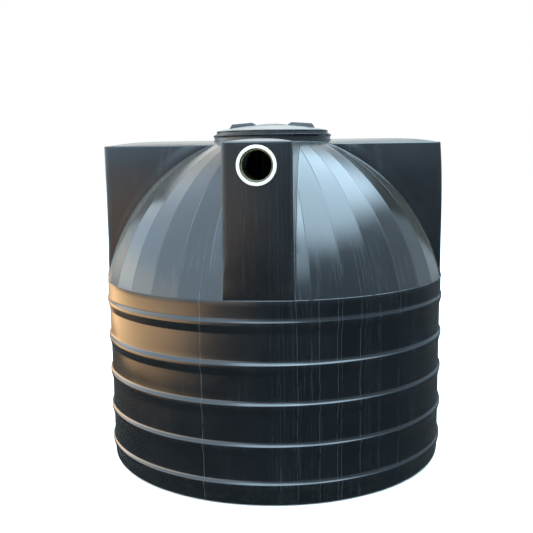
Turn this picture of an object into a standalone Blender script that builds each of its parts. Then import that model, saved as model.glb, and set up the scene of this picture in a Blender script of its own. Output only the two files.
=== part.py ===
"""Rotationally moulded septic tank: a ribbed round wall under a dome of flat
gores, four square boxes that rise through the dome, a manhole neck with a
screw lid, and a pipe socket through the front and the rear box.

Units are metres. Z is up, the ground is z = 0, and the inlet faces -Y.
"""

import math

import bmesh
import bpy

# Shell and clearances
SHELL = 0.008
GAP = 0.0003

# Round wall: its radius at the foot, how much wider it is at the head, the step
# from there out to the plain band over the ribs, and its parts
WALL_RADIUS = 0.610
WALL_DRAFT = 0.0025
BAND_STEP = 0.003
WALL_SEGMENTS = 8
SEGMENT_FACETS = 9

# Ribs, placed by the middle of their upper slopes: the first over the ground,
# the spacing from one to the next, and the band over the last
FIRST_RIB_Z = 0.082
RIB_SPACING = (0.124, 0.132, 0.127, 0.133)
BAND_HEIGHT = 0.060
RIB_HEIGHT = 0.007
RIB_RISE = 0.016
RIB_CREST = 0.010
RIB_FALL = 0.026

# Inward shelf at the head of the wall, which carries the dome and the boxes
SHELF_WIDTH = 0.022
SHELF_DEPTH = 0.010

# Flat floor and the rounded foot of the wall, which turns in to meet it
FLOOR_THICKNESS = 0.010
FLOOR_MARGIN = 0.030
FOOT_ROUND = 0.020
FOOT_ROUND_STEPS = 4

# Dome of flat gores, an arc in section from the ledge up to the neck
GORES = 36
DOME_RISE = 0.4805
DOME_ARC_RADIUS = 0.679
DOME_STEPS = 9

# Square boxes at the four quarters: the face stands back from the band, and the
# edge of the top lies under the dome's crown
BOX_HALF_WIDTH = 0.1087
BOX_SETBACK = 0.0115
BOX_CORNER = 0.012
BOX_CORNER_STEPS = 3
BOX_TOP_DROP = 0.0065
BOX_TOP_THICKNESS = 0.005
BOX_CROWN = 0.016
BOX_TOP_STEPS = 8
SIDE_STEPS = 10

# Manhole neck from the foot up: plain wall, flare, lip and sloping shoulder
NECK_RADIUS = 0.213
NECK_WALL = 0.018
NECK_FOOT_DEPTH = 0.0285
NECK_PLAIN_HEIGHT = 0.0135
NECK_FLARE = 0.0034
NECK_FLARE_HEIGHT = 0.011
NECK_LIP_HEIGHT = 0.005
NECK_SHOULDER_INSET = 0.008
NECK_SHOULDER_HEIGHT = 0.006
ROUND_FACETS = 72

# Screw lid: crowned cover, threaded skirt and two grips
LID_INSET = 0.001
LID_UNDERCUT = 0.003
LID_RIM_RISE = 0.002
LID_RIM_HEIGHT = 0.004
LID_CROWN = 0.0237
LID_THICKNESS = 0.008
LID_RINGS = 5
SKIRT_CLEARANCE = 0.005
SKIRT_THICKNESS = 0.008
SKIRT_DEPTH = 0.042
GRIP_INSET = 0.047
GRIP_LENGTH = 0.093
GRIP_WIDTH = 0.034
GRIP_TOP_WIDTH = 0.022
GRIP_INNER_SLOPE = 0.012
GRIP_OUTER_SLOPE = 0.018
GRIP_HEIGHT = 0.0105
GRIP_END_HEIGHT = 0.002
GRIP_STEPS = 5

# Pipe fittings, turned about the pipe's axis; the socket hangs under the edge
# of the box's top by its margin
SOCKET_RADIUS = 0.0625
SOCKET_WALL = 0.0115
SOCKET_LENGTH = 0.070
SOCKET_PROUD = 0.006
SOCKET_CHAMFER = 0.002
SOCKET_MARGIN = 0.0055
SEAL_WALL = 0.0032
SEAL_DEPTH = 0.008
SEAL_LENGTH = 0.006
PIPE_WALL = 0.0045
PIPE_LENGTH = 0.150
PIPE_FACETS = 48
OUTLET_DROP = 0.050

# Radii and levels that follow from the sizes above
BAND_RADIUS = WALL_RADIUS + WALL_DRAFT + BAND_STEP
FLOOR_RADIUS = WALL_RADIUS - FLOOR_MARGIN
RIB_LEVELS = [FIRST_RIB_Z + sum(RIB_SPACING[:count]) for count in range(len(RIB_SPACING) + 1)]
LEDGE_Z = RIB_LEVELS[-1] + BAND_HEIGHT
DOME_CROWN_Z = LEDGE_Z + DOME_RISE
BOX_FACE = BAND_RADIUS - BOX_SETBACK
BOX_TOP_Z = DOME_CROWN_Z - BOX_TOP_DROP
NECK_BORE_RADIUS = NECK_RADIUS - NECK_WALL
NECK_RIM_RADIUS = NECK_RADIUS - NECK_SHOULDER_INSET
NECK_FLARE_Z = DOME_CROWN_Z + NECK_PLAIN_HEIGHT
NECK_LIP_Z = NECK_FLARE_Z + NECK_FLARE_HEIGHT
NECK_TOP_Z = NECK_LIP_Z + NECK_LIP_HEIGHT + NECK_SHOULDER_HEIGHT
LID_RADIUS = NECK_RIM_RADIUS - LID_INSET
GRIP_OUTER = LID_RADIUS - GRIP_INSET
GRIP_INNER = GRIP_OUTER - GRIP_LENGTH
INLET_Z = BOX_TOP_Z - SOCKET_MARGIN - SOCKET_RADIUS

# Finishes: colour, roughness and metallic value
BLACK_SHELL = ((0.016, 0.019, 0.022, 1.0), 0.38, 0.0)
BLACK_LID = ((0.030, 0.036, 0.040, 1.0), 0.45, 0.0)
BLACK_GRIP = ((0.012, 0.013, 0.014, 1.0), 0.50, 0.0)
WHITE_PIPE = ((0.82, 0.83, 0.82, 1.0), 0.35, 0.0)
GREY_SEAL = ((0.020, 0.020, 0.020, 1.0), 0.70, 0.0)
OLIVE_PIPE = ((0.20, 0.19, 0.09, 1.0), 0.30, 0.0)

QUARTER = math.pi / 2
GORE_ANGLE = math.tau / GORES
SMOOTH_ANGLE = math.radians(30)

BOX_NAMES = ("front", "right", "rear", "left")
DOME_NAMES = ("dome_front_right", "dome_rear_right", "dome_rear_left", "dome_front_left")
PIPE_LEVELS = {"front": INLET_Z, "rear": INLET_Z - OUTLET_DROP}
PIPE_NAMES = {"front": "inlet", "rear": "outlet"}


def clear_scene():
    """Remove every object that the file starts with."""
    for item in list(bpy.data.objects):
        bpy.data.objects.remove(item, do_unlink=True)


def make_material(name, finish):
    """One surface finish of its own for a piece."""
    colour, roughness, metallic = finish
    material = bpy.data.materials.new(name)
    material.use_nodes = True
    shader = material.node_tree.nodes["Principled BSDF"]
    shader.inputs["Base Color"].default_value = colour
    shader.inputs["Roughness"].default_value = roughness
    shader.inputs["Metallic"].default_value = metallic
    return material


def add_frame(name, parent=None, location=(0, 0, 0), turn=0.0):
    """An empty that carries pieces."""
    empty = bpy.data.objects.new(name, None)
    bpy.context.collection.objects.link(empty)
    empty.location = location
    empty.rotation_euler = (0, 0, turn)
    empty.parent = parent
    return empty


def add_piece(name, shape, finish, parent, location=(0, 0, 0), rotation=(0, 0, 0)):
    """Turn a bmesh into a named object with its own material."""
    bmesh.ops.recalc_face_normals(shape, faces=shape.faces)
    mesh = bpy.data.meshes.new(name)
    shape.to_mesh(mesh)
    shape.free()
    mesh.shade_smooth()
    mesh.set_sharp_from_angle(angle=SMOOTH_ANGLE)
    mesh.materials.append(make_material(name, finish))
    piece = bpy.data.objects.new(name, mesh)
    bpy.context.collection.objects.link(piece)
    piece.location = location
    piece.rotation_euler = rotation
    piece.parent = parent
    return piece


def turned_point(radius, height, angle):
    """A point at an angle that is counted from the front, towards +X."""
    return (radius * math.sin(angle), -radius * math.cos(angle), height)


def turned(outline, facets, start=0.0, end=math.tau):
    """Carry a closed outline of (radius, height) points round Z."""
    whole = math.isclose(end - start, math.tau)
    count = facets if whole else facets + 1
    angles = [start + (end - start) * step / facets for step in range(count)]
    shape = bmesh.new()
    rows = []
    for radius, height in outline:
        if radius == 0.0:
            rows.append([shape.verts.new((0, 0, height))] * count)
        else:
            rows.append([shape.verts.new(turned_point(radius, height, a)) for a in angles])
    for row, following in zip(rows, rows[1:] + rows[:1]):
        for step in range(facets):
            ahead = (step + 1) % count
            ring = (row[step], row[ahead], following[ahead], following[step])
            corners = list(dict.fromkeys(ring))
            if len(corners) > 2:
                shape.faces.new(corners)
    if not whole:
        shape.faces.new([row[0] for row in rows])
        shape.faces.new([row[-1] for row in rows])
    return shape


def prism(outline, low, high, point):
    """Carry a flat outline from one level to another.

    point(first, second, level) says where a corner of the outline lies.
    """
    shape = bmesh.new()
    bottom = [shape.verts.new(point(first, second, low)) for first, second in outline]
    top = [shape.verts.new(point(first, second, high)) for first, second in outline]
    shape.faces.new(bottom)
    shape.faces.new(top)
    for here, there in zip(range(len(outline)), list(range(1, len(outline))) + [0]):
        shape.faces.new((bottom[here], bottom[there], top[there], top[here]))
    return shape


def arc_points(centre_radius, centre_z, radius, start, end, steps):
    """Points of an arc in section, by angle above the horizontal."""
    points = []
    for step in range(steps + 1):
        angle = start + (end - start) * step / steps
        points.append((centre_radius + radius * math.cos(angle), centre_z + radius * math.sin(angle)))
    return points


def valley_radius(height):
    """Outer radius of the wall between its ribs, which narrows a little downwards."""
    return WALL_RADIUS + WALL_DRAFT * height / LEDGE_Z


def rib_points(level, is_top):
    """One rib from its lower corner to its upper corner."""
    top = level + RIB_RISE / 2
    crest_top = top - RIB_RISE
    crest_foot = crest_top - RIB_CREST
    foot = crest_foot - RIB_FALL
    upper_radius = BAND_RADIUS if is_top else valley_radius(top)
    return [
        (valley_radius(foot), foot),
        (valley_radius(crest_foot) + RIB_HEIGHT, crest_foot),
        (valley_radius(crest_top) + RIB_HEIGHT, crest_top),
        (upper_radius, top),
    ]


def foot_outline():
    """Section of the wall's foot: outer round going up, inner round going down."""
    turn_radius = valley_radius(FOOT_ROUND) - FOOT_ROUND
    inner_round = FOOT_ROUND - SHELL
    inner_z = FLOOR_THICKNESS + inner_round
    outer = arc_points(turn_radius, FOOT_ROUND, FOOT_ROUND, -QUARTER, 0.0, FOOT_ROUND_STEPS)
    inner = arc_points(turn_radius, inner_z, inner_round, 0.0, -QUARTER, FOOT_ROUND_STEPS)
    seat = FLOOR_RADIUS + GAP
    return [(seat, 0.0)] + outer, inner + [(seat, FLOOR_THICKNESS)]


def wall_outline():
    """Section of the round wall: ribs outside, plain inside, shelf on top."""
    outer_foot, inner_foot = foot_outline()
    outline = outer_foot
    for level in RIB_LEVELS:
        outline += rib_points(level, level == max(RIB_LEVELS))
    shelf_radius = BAND_RADIUS - SHELL - SHELF_WIDTH
    shelf_z = LEDGE_Z - SHELF_DEPTH
    outline += [
        (BAND_RADIUS, LEDGE_Z),
        (shelf_radius, LEDGE_Z),
        (shelf_radius, shelf_z),
        (valley_radius(shelf_z) - SHELL, shelf_z - SHELF_WIDTH / 2),
    ]
    return outline + inner_foot


def build_wall(parent):
    """The round wall in equal segments, a hair apart."""
    outline = wall_outline()
    inner_radius = min(radius for radius, height in outline)
    trim = GAP / 2 / inner_radius
    sweep = math.tau / WALL_SEGMENTS
    for number in range(WALL_SEGMENTS):
        start = number * sweep + trim
        end = (number + 1) * sweep - trim
        shape = turned(outline, SEGMENT_FACETS, start, end)
        add_piece(f"wall_segment_{number + 1}", shape, BLACK_SHELL, parent)


def build_floor(parent):
    """The flat floor inside the foot of the wall."""
    outline = [(0.0, 0.0), (FLOOR_RADIUS, 0.0), (FLOOR_RADIUS, FLOOR_THICKNESS), (0.0, FLOOR_THICKNESS)]
    add_piece("tank_floor", turned(outline, ROUND_FACETS), BLACK_SHELL, parent)


def neck_seat_radius(facet_angle):
    """Radius at which flat facets of this angle just clear the round neck."""
    return (NECK_RADIUS + GAP) / math.cos(facet_angle / 2)


def dome_centre():
    """Centre of the dome's arc in section, from its foot, its head and its radius."""
    foot_radius, foot_z = BAND_RADIUS, LEDGE_Z + GAP
    head_radius, head_z = neck_seat_radius(GORE_ANGLE), DOME_CROWN_Z
    across, up = head_radius - foot_radius, head_z - foot_z
    chord = math.hypot(across, up)
    drop = math.sqrt(DOME_ARC_RADIUS ** 2 - (chord / 2) ** 2)
    middle_radius, middle_z = (foot_radius + head_radius) / 2, (foot_z + head_z) / 2
    return middle_radius - up / chord * drop, middle_z + across / chord * drop


def dome_radius_at(height, inset):
    """Radius of the dome at a height, measured inset from its outer face."""
    centre_radius, centre_z = dome_centre()
    radius = DOME_ARC_RADIUS - inset
    return centre_radius + math.sqrt(radius ** 2 - (height - centre_z) ** 2)


def dome_outline():
    """Section of the dome's shell."""
    centre_radius, centre_z = dome_centre()
    outline = []
    for inset, order in ((0.0, 1), (SHELL, -1)):
        radius = DOME_ARC_RADIUS - inset
        foot = math.asin((LEDGE_Z + GAP - centre_z) / radius)
        head = math.acos((neck_seat_radius(GORE_ANGLE) - centre_radius) / radius)
        outline += arc_points(centre_radius, centre_z, radius, foot, head, DOME_STEPS)[::order]
    return outline


def cut_flat(shape, point, normal):
    """Keep the side that the normal points away from, and close the cut."""
    whole = shape.verts[:] + shape.edges[:] + shape.faces[:]
    cut = bmesh.ops.bisect_plane(shape, geom=whole, plane_co=point, plane_no=normal, clear_outer=True)
    edges = [item for item in cut["geom_cut"] if isinstance(item, bmesh.types.BMEdge)]
    bmesh.ops.contextual_create(shape, geom=edges)


def build_dome(parent):
    """Four quarters of the dome, each between the sides of two boxes."""
    outline = dome_outline()
    side = BOX_HALF_WIDTH + GAP
    for number, name in enumerate(DOME_NAMES):
        facets = GORES // 4 + 1
        start = -GORE_ANGLE / 2
        shape = turned(outline, facets, start, start + facets * GORE_ANGLE)
        cut_flat(shape, (side, 0, 0), (-1, 0, 0))
        cut_flat(shape, (0, -side, 0), (0, 1, 0))
        add_piece(name, shape, BLACK_SHELL, parent, rotation=(0, 0, number * QUARTER))


def box_face_outline():
    """Plan of a box's face: a plate whose two ends turn a rounded corner."""
    middle = BOX_HALF_WIDTH - BOX_CORNER
    turn = BOX_FACE - BOX_CORNER
    outline = []
    for radius, order in ((BOX_CORNER, 1), (BOX_CORNER - SHELL, -1)):
        right = arc_points(middle, turn, radius, 0.0, QUARTER, BOX_CORNER_STEPS)
        left = [(-across, out) for across, out in reversed(right)]
        outline += (right + left)[::order]
    return outline


def box_side_top():
    """Level at which the sides of a box end, under its top."""
    return BOX_TOP_Z - BOX_TOP_THICKNESS - GAP


def build_box_face(name, parent, pipe_level):
    """The outer face of a box, bored for a socket where it has one."""
    shape = prism(box_face_outline(), LEDGE_Z + GAP, BOX_TOP_Z, lambda u, v, z: (u, -v, z))
    face = add_piece(f"{name}_box_face", shape, BLACK_SHELL, parent)
    if pipe_level is None:
        return
    radius = SOCKET_RADIUS + GAP
    depth = BOX_CORNER + SHELL
    outline = [(0.0, -depth), (radius, -depth), (radius, depth), (0.0, depth)]
    location = (0, -BOX_FACE, pipe_level)
    cutter = add_piece(f"{name}_bore", turned(outline, PIPE_FACETS), BLACK_SHELL, parent, location,
                       (QUARTER, 0, 0))
    cutter.hide_render = True
    cutter.display_type = "WIRE"
    bore = face.modifiers.new("bore", "BOOLEAN")
    bore.object = cutter
    bore.operation = "DIFFERENCE"
    bore.solver = "EXACT"


def box_side_outline():
    """Side of a box seen square on: it stands on the dome's cut edge."""
    edge = BOX_FACE - BOX_CORNER - GAP
    top = box_side_top()
    centre_radius, centre_z = dome_centre()
    inner = DOME_ARC_RADIUS - SHELL
    tip_radius = math.hypot(edge, BOX_HALF_WIDTH)
    tip = centre_z + math.sqrt(inner ** 2 - (tip_radius - centre_radius) ** 2)
    outline = [(edge, top)]
    for step in range(SIDE_STEPS + 1):
        height = top + (tip - top) * (step / SIDE_STEPS)
        radius = dome_radius_at(height, SHELL)
        outline.append((math.sqrt(radius ** 2 - BOX_HALF_WIDTH ** 2), height))
    return outline


def build_box_sides(name, parent):
    """The two sides of a box, between its face and the dome."""
    for side, sign in (("right", 1), ("left", -1)):
        outer = sign * BOX_HALF_WIDTH
        inner = sign * (BOX_HALF_WIDTH - SHELL)
        shape = prism(box_side_outline(), inner, outer, lambda v, z, u: (u, -v, z))
        add_piece(f"{name}_box_{side}_side", shape, BLACK_SHELL, parent)


def box_top_columns():
    """Places across a box's top, with one at each turn of its front edge."""
    columns = [BOX_HALF_WIDTH * (2 * step / BOX_TOP_STEPS - 1) for step in range(1, BOX_TOP_STEPS)]
    for inset in (0.0, SHELL + GAP, BOX_CORNER):
        columns += [BOX_HALF_WIDTH - inset, inset - BOX_HALF_WIDTH]
    return sorted(columns)


def box_top_front(across):
    """How far out a box's top reaches, inside the face and its two corners."""
    if abs(across) <= BOX_HALF_WIDTH - BOX_CORNER:
        return BOX_FACE - SHELL - GAP
    return BOX_FACE - BOX_CORNER - GAP


def box_top_height(across, share):
    """The crown of a box's top, where share runs from the neck to the face."""
    edge = abs(across) / BOX_HALF_WIDTH
    return BOX_TOP_Z + BOX_CROWN * (1 - edge ** 2.5) * (1 - share ** 6)


def build_box_top(name, parent):
    """The crowned top of a box, behind its face and hollowed round the neck."""
    columns = box_top_columns()
    widest = max(b - a for a, b in zip(columns, columns[1:]))
    seat = neck_seat_radius(widest / math.sqrt(NECK_RADIUS ** 2 - BOX_HALF_WIDTH ** 2))
    shares = (0.0, 0.25, 0.5, 0.7, 0.85, 0.95, 1.0)
    shape = bmesh.new()
    upper, lower = [], []
    for across in columns:
        start = math.sqrt(seat ** 2 - across ** 2)
        front = box_top_front(across)
        above, below = [], []
        for share in shares:
            out = start + (front - start) * share
            height = box_top_height(across, share)
            above.append(shape.verts.new((across, -out, height)))
            below.append(shape.verts.new((across, -out, height - BOX_TOP_THICKNESS)))
        upper.append(above)
        lower.append(below)
    for grid in (upper, lower):
        for column, following in zip(grid, grid[1:]):
            for row in range(len(shares) - 1):
                shape.faces.new((column[row], column[row + 1], following[row + 1], following[row]))
    for end in (0, -1):
        for row in range(len(shares) - 1):
            shape.faces.new((upper[end][row], upper[end][row + 1], lower[end][row + 1], lower[end][row]))
    for row in (0, -1):
        for column in range(len(columns) - 1):
            shape.faces.new((upper[column][row], upper[column + 1][row],
                             lower[column + 1][row], lower[column][row]))
    add_piece(f"{name}_box_top", shape, BLACK_SHELL, parent)


def build_pipe_fitting(name, parent, level):
    """A white socket through the box's face, its seal and the pipe behind it."""
    place = (0, -BOX_FACE, level)
    outward = (QUARTER, 0, 0)
    bore = SOCKET_RADIUS - SOCKET_WALL
    socket = [
        (bore + SOCKET_CHAMFER, SOCKET_PROUD),
        (SOCKET_RADIUS - SOCKET_CHAMFER, SOCKET_PROUD),
        (SOCKET_RADIUS, SOCKET_PROUD - SOCKET_CHAMFER),
        (SOCKET_RADIUS, SOCKET_PROUD - SOCKET_LENGTH),
        (bore, SOCKET_PROUD - SOCKET_LENGTH),
        (bore, SOCKET_PROUD - SOCKET_CHAMFER),
    ]
    add_piece(f"{name}_socket", turned(socket, PIPE_FACETS), WHITE_PIPE, parent, place, outward)
    fitted = bore - GAP
    seal_front = SOCKET_PROUD - SEAL_DEPTH
    seal_back = seal_front - SEAL_LENGTH
    seal_bore = fitted - SEAL_WALL
    seal = [(seal_bore, seal_front), (fitted, seal_front), (fitted, seal_back), (seal_bore, seal_back)]
    add_piece(f"{name}_seal", turned(seal, PIPE_FACETS), GREY_SEAL, parent, place, outward)
    pipe_front = seal_back - GAP
    pipe_back = pipe_front - PIPE_LENGTH
    pipe_bore = fitted - PIPE_WALL
    pipe = [(pipe_bore, pipe_front), (fitted, pipe_front), (fitted, pipe_back), (pipe_bore, pipe_back)]
    add_piece(f"{name}_pipe", turned(pipe, PIPE_FACETS), OLIVE_PIPE, parent, place, outward)


def build_boxes(parent):
    """The four boxes, each made facing the front and turned into place."""
    for number, name in enumerate(BOX_NAMES):
        frame = add_frame(f"{name}_box", parent, turn=number * QUARTER)
        level = PIPE_LEVELS.get(name)
        build_box_face(name, frame, level)
        build_box_sides(name, frame)
        build_box_top(name, frame)
        if level is not None:
            build_pipe_fitting(PIPE_NAMES[name], frame, level)


def build_neck(parent):
    """The manhole neck with its flared lip and sloping shoulder."""
    foot = DOME_CROWN_Z - NECK_FOOT_DEPTH
    lip_radius = NECK_RADIUS + NECK_FLARE
    outline = [
        (NECK_BORE_RADIUS, foot),
        (NECK_RADIUS, foot),
        (NECK_RADIUS, NECK_FLARE_Z),
        (lip_radius, NECK_LIP_Z),
        (lip_radius, NECK_LIP_Z + NECK_LIP_HEIGHT),
        (NECK_RIM_RADIUS, NECK_TOP_Z),
        (NECK_BORE_RADIUS, NECK_TOP_Z),
    ]
    add_piece("manhole_neck", turned(outline, ROUND_FACETS), BLACK_SHELL, parent)


def lid_seat_z():
    """Underside of the lid's rim, just clear of the neck."""
    return NECK_TOP_Z + GAP


def lid_crown_z(radius):
    """Height of the lid's crowned upper face at a radius."""
    edge = lid_seat_z() + LID_RIM_RISE + LID_RIM_HEIGHT
    return edge + LID_CROWN * (1 - (radius / LID_RADIUS) ** 2)


def skirt_outer_radius():
    """The skirt turns inside the neck with a named clearance."""
    return NECK_BORE_RADIUS - SKIRT_CLEARANCE


def build_lid_cover(parent):
    """The crowned cover, a shell that is open underneath."""
    seat = lid_seat_z()
    hollow = skirt_outer_radius() - SKIRT_THICKNESS
    upper = [(LID_RADIUS * ring / LID_RINGS, lid_crown_z(LID_RADIUS * ring / LID_RINGS))
             for ring in range(LID_RINGS + 1)]
    lower = [(hollow * ring / LID_RINGS, lid_crown_z(hollow * ring / LID_RINGS) - LID_THICKNESS)
             for ring in range(LID_RINGS, -1, -1)]
    rim = [(LID_RADIUS, seat + LID_RIM_RISE), (LID_RADIUS - LID_UNDERCUT, seat), (hollow, seat)]
    outline = [(radius, height - seat) for radius, height in upper + rim + lower]
    shape = turned(outline, ROUND_FACETS)
    add_piece("lid_cover", shape, BLACK_LID, parent)


def build_lid_skirt(parent):
    """The threaded skirt under the cover, inside the neck."""
    outer = skirt_outer_radius()
    inner = outer - SKIRT_THICKNESS
    outline = [(inner, -SKIRT_DEPTH), (outer, -SKIRT_DEPTH), (outer, -GAP), (inner, -GAP)]
    add_piece("lid_skirt", turned(outline, ROUND_FACETS), BLACK_LID, parent)


def grip_rise(radius):
    """Height of a grip over the crown: level on top, with a slope at each end."""
    up = (radius - GRIP_INNER) / GRIP_INNER_SLOPE
    down = (GRIP_OUTER - radius) / GRIP_OUTER_SLOPE
    return GRIP_END_HEIGHT + (GRIP_HEIGHT - GRIP_END_HEIGHT) * min(up, down, 1.0)


def grip_radii():
    """Stations along a grip: its two ends and steps along its level top."""
    first = GRIP_INNER + GRIP_INNER_SLOPE
    last = GRIP_OUTER - GRIP_OUTER_SLOPE
    level = [first + (last - first) * step / GRIP_STEPS for step in range(GRIP_STEPS + 1)]
    return [GRIP_INNER] + level + [GRIP_OUTER]


def build_lid_grips(parent):
    """Two tapered bars that stand on the crown, opposite each other."""
    lift = GAP - lid_seat_z()
    foot, top = GRIP_WIDTH / 2, GRIP_TOP_WIDTH / 2
    for name, sign in (("lid_grip_right", 1), ("lid_grip_left", -1)):
        shape = bmesh.new()
        sections = []
        for radius in grip_radii():
            head = lid_crown_z(radius) + grip_rise(radius) + lift
            outline = [(y, lid_crown_z(math.hypot(radius, y)) + lift) for y in (-foot, 0, foot)]
            outline += [(top, head), (-top, head)]
            sections.append([shape.verts.new((sign * radius, y, level)) for y, level in outline])
        for here, ahead in zip(sections, sections[1:]):
            for corner in range(len(here)):
                shape.faces.new((here[corner - 1], here[corner], ahead[corner], ahead[corner - 1]))
        shape.faces.new(sections[0])
        shape.faces.new(sections[-1])
        add_piece(name, shape, BLACK_GRIP, parent)


def main():
    """Build the tank and its lid."""
    clear_scene()
    tank = add_frame("tank")
    build_floor(tank)
    build_wall(tank)
    build_dome(tank)
    build_boxes(tank)
    build_neck(tank)
    lid = add_frame("lid", location=(0, 0, lid_seat_z()))
    build_lid_cover(lid)
    build_lid_skirt(lid)
    build_lid_grips(lid)


main()
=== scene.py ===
"""The look of a rotationally moulded septic tank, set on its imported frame.

Units are metres. Z is up, the ground is z = 0 and the inlet faces -Y. An azimuth
is counted from the front (-Y) towards +X, so that a point at radius r, azimuth a
and height z lies at (r sin a, -r cos a, z).
"""

from __future__ import annotations

import logging
import math
from dataclasses import dataclass
from enum import Enum

import bmesh
import bpy
import numpy as np
from mathutils import Matrix, Vector


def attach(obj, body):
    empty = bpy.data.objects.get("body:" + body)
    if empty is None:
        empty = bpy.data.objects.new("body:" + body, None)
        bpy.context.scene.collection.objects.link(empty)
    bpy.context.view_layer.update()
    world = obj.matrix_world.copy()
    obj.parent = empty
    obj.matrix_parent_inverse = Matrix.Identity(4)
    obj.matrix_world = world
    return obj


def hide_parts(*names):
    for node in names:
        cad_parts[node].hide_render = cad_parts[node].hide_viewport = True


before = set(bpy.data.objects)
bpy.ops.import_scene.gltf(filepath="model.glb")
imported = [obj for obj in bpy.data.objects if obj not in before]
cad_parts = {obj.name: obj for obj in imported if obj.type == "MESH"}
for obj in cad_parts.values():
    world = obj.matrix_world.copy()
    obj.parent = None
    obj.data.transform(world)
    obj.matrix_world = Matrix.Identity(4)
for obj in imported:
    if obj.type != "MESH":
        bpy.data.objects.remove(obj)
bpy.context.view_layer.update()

LOG = logging.getLogger("septic_tank")

Array = np.ndarray
TAU = math.tau
QUARTER = math.pi / 2
WELD = 1e-5
SMOOTH_ANGLE = math.radians(38)
CLOSEST_SHARE = 0.35

WALL_RADIUS = 0.610
THICKNESS = 0.008
LEDGE_Z = 0.658
CROWN_Z = 1.1385
BOX_HALF_WIDTH = 0.1087
BOX_FACE = 0.604
BOX_TOP_Z = 1.132
INLET_Z = 1.064
OUTLET_Z = 1.014

FAINT_DRIPS = 22
FAINT_DRIP_SEED = 31
FAINT_DRIP_AZIMUTHS = (2, 76)
FAINT_DRIP_STRENGTHS = (0.008, 0.025)
STRONG_DRIPS = (
    (-17.6, 0.09), (10.9, 0.05), (17.4, 0.035), (23.1, 0.03), (30.5, 0.06), (32.3, 0.03),
    (34.1, 0.02), (37.6, 0.035), (45.6, 0.04), (48.5, 0.03), (54.2, 0.03), (118.0, 0.06),
    (-142.0, 0.07), (163.0, 0.05),
)


class Body(Enum):
    """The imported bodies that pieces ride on."""

    TANK = "tank"
    LID = "lid"


class Slot(Enum):
    """The record's material slots."""

    SHELL = "shell_black"
    LID = "lid_black"
    GRIP = "grip_black"
    SOCKET = "pipe_white"
    PIPE = "pipe_olive"
    SEAL = "seal_rubber"


class Quarter(Enum):
    """The four sides of the tank, as quarter turns from the front towards +X."""

    FRONT = 0
    RIGHT = 1
    REAR = 2
    LEFT = 3

    @property
    def word(self) -> str:
        """The side's name as the nodes spell it."""
        return self.name.lower()

    @property
    def angle(self) -> float:
        """The azimuth of the middle of the side."""
        return self.value * QUARTER


# Colour and small sums


def linear(colour: str) -> tuple[float, float, float, float]:
    """Turn an sRGB hex colour into linear light.

    Args:
        colour: six hex digits, with or without a leading hash.

    Returns:
        Red, green, blue and a full alpha.
    """
    digits = colour.lstrip("#")
    srgb = np.array([int(digits[at:at + 2], 16) for at in (0, 2, 4)]) / 255
    light = np.where(srgb <= 0.04045, srgb / 12.92, ((srgb + 0.055) / 1.055) ** 2.4)
    return (*light.tolist(), 1.0)


def ease(share: Array) -> Array:
    """Smooth step: 3t^2 - 2t^3 on a share that is held between 0 and 1."""
    held = np.clip(share, 0.0, 1.0)
    return held * held * (3 - 2 * held)


def round_points(radius: Array, height: Array, azimuth: Array) -> Array:
    """Place points by radius, height and azimuth.

    Args:
        radius: distance from the axis, any shape that broadcasts with the others.
        height: level over the ground.
        azimuth: angle from the front towards +X.

    Returns:
        Points (r sin a, -r cos a, z), with one more axis than the inputs.
    """
    radius, height, azimuth = np.broadcast_arrays(radius, height, azimuth)
    return np.stack((radius * np.sin(azimuth), -radius * np.cos(azimuth), height), axis=-1)


def turn_about_axis(points: Array, angle: float) -> Array:
    """Turn points about Z by an azimuth: x' = x cos - y sin, y' = x sin + y cos."""
    x, y, z = points[..., 0], points[..., 1], points[..., 2]
    cos, sin = math.cos(angle), math.sin(angle)
    return np.stack((x * cos - y * sin, x * sin + y * cos, z), axis=-1)


def rounded(corners: list[tuple[float, float, float]], steps: int) -> Array:
    """Round the corners of a closed section.

    Each corner is cut back along both of its edges by r / tan(half its angle) and
    bridged by a circular arc of radius r, sampled at equal angles. All corners are
    worked out at once.

    Args:
        corners: across, up and rounding radius of each corner, in order.
        steps: points to each arc, less one.

    Returns:
        The section as an array of (across, up).
    """
    given = np.array(corners, float)
    at, radius = given[:, :2], np.maximum(given[:, 2:], 1e-7)
    back, ahead = np.roll(at, 1, axis=0) - at, np.roll(at, -1, axis=0) - at
    back /= np.linalg.norm(back, axis=1, keepdims=True)
    ahead /= np.linalg.norm(ahead, axis=1, keepdims=True)
    half = np.arccos(np.clip((back * ahead).sum(axis=1, keepdims=True), -1, 1)) / 2
    middle = back + ahead
    length = np.linalg.norm(middle, axis=1, keepdims=True)
    middle = np.where(length > 1e-9, middle / np.maximum(length, 1e-9), 0)
    centre = at + middle * radius / np.sin(half)
    start = at + back * radius / np.tan(half) - centre
    end = at + ahead * radius / np.tan(half) - centre
    across = end - start * (start * end).sum(axis=1, keepdims=True) / radius ** 2
    span = np.linalg.norm(across, axis=1, keepdims=True)
    across = np.where(span > 1e-12, across / np.maximum(span, 1e-12) * radius, 0)
    sweep = (math.pi - 2 * half)[:, :, None] * np.linspace(0, 1, steps + 1)[None, :, None]
    arcs = centre[:, None] + start[:, None] * np.cos(sweep) + across[:, None] * np.sin(sweep)
    return arcs.reshape(-1, 2)


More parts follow.
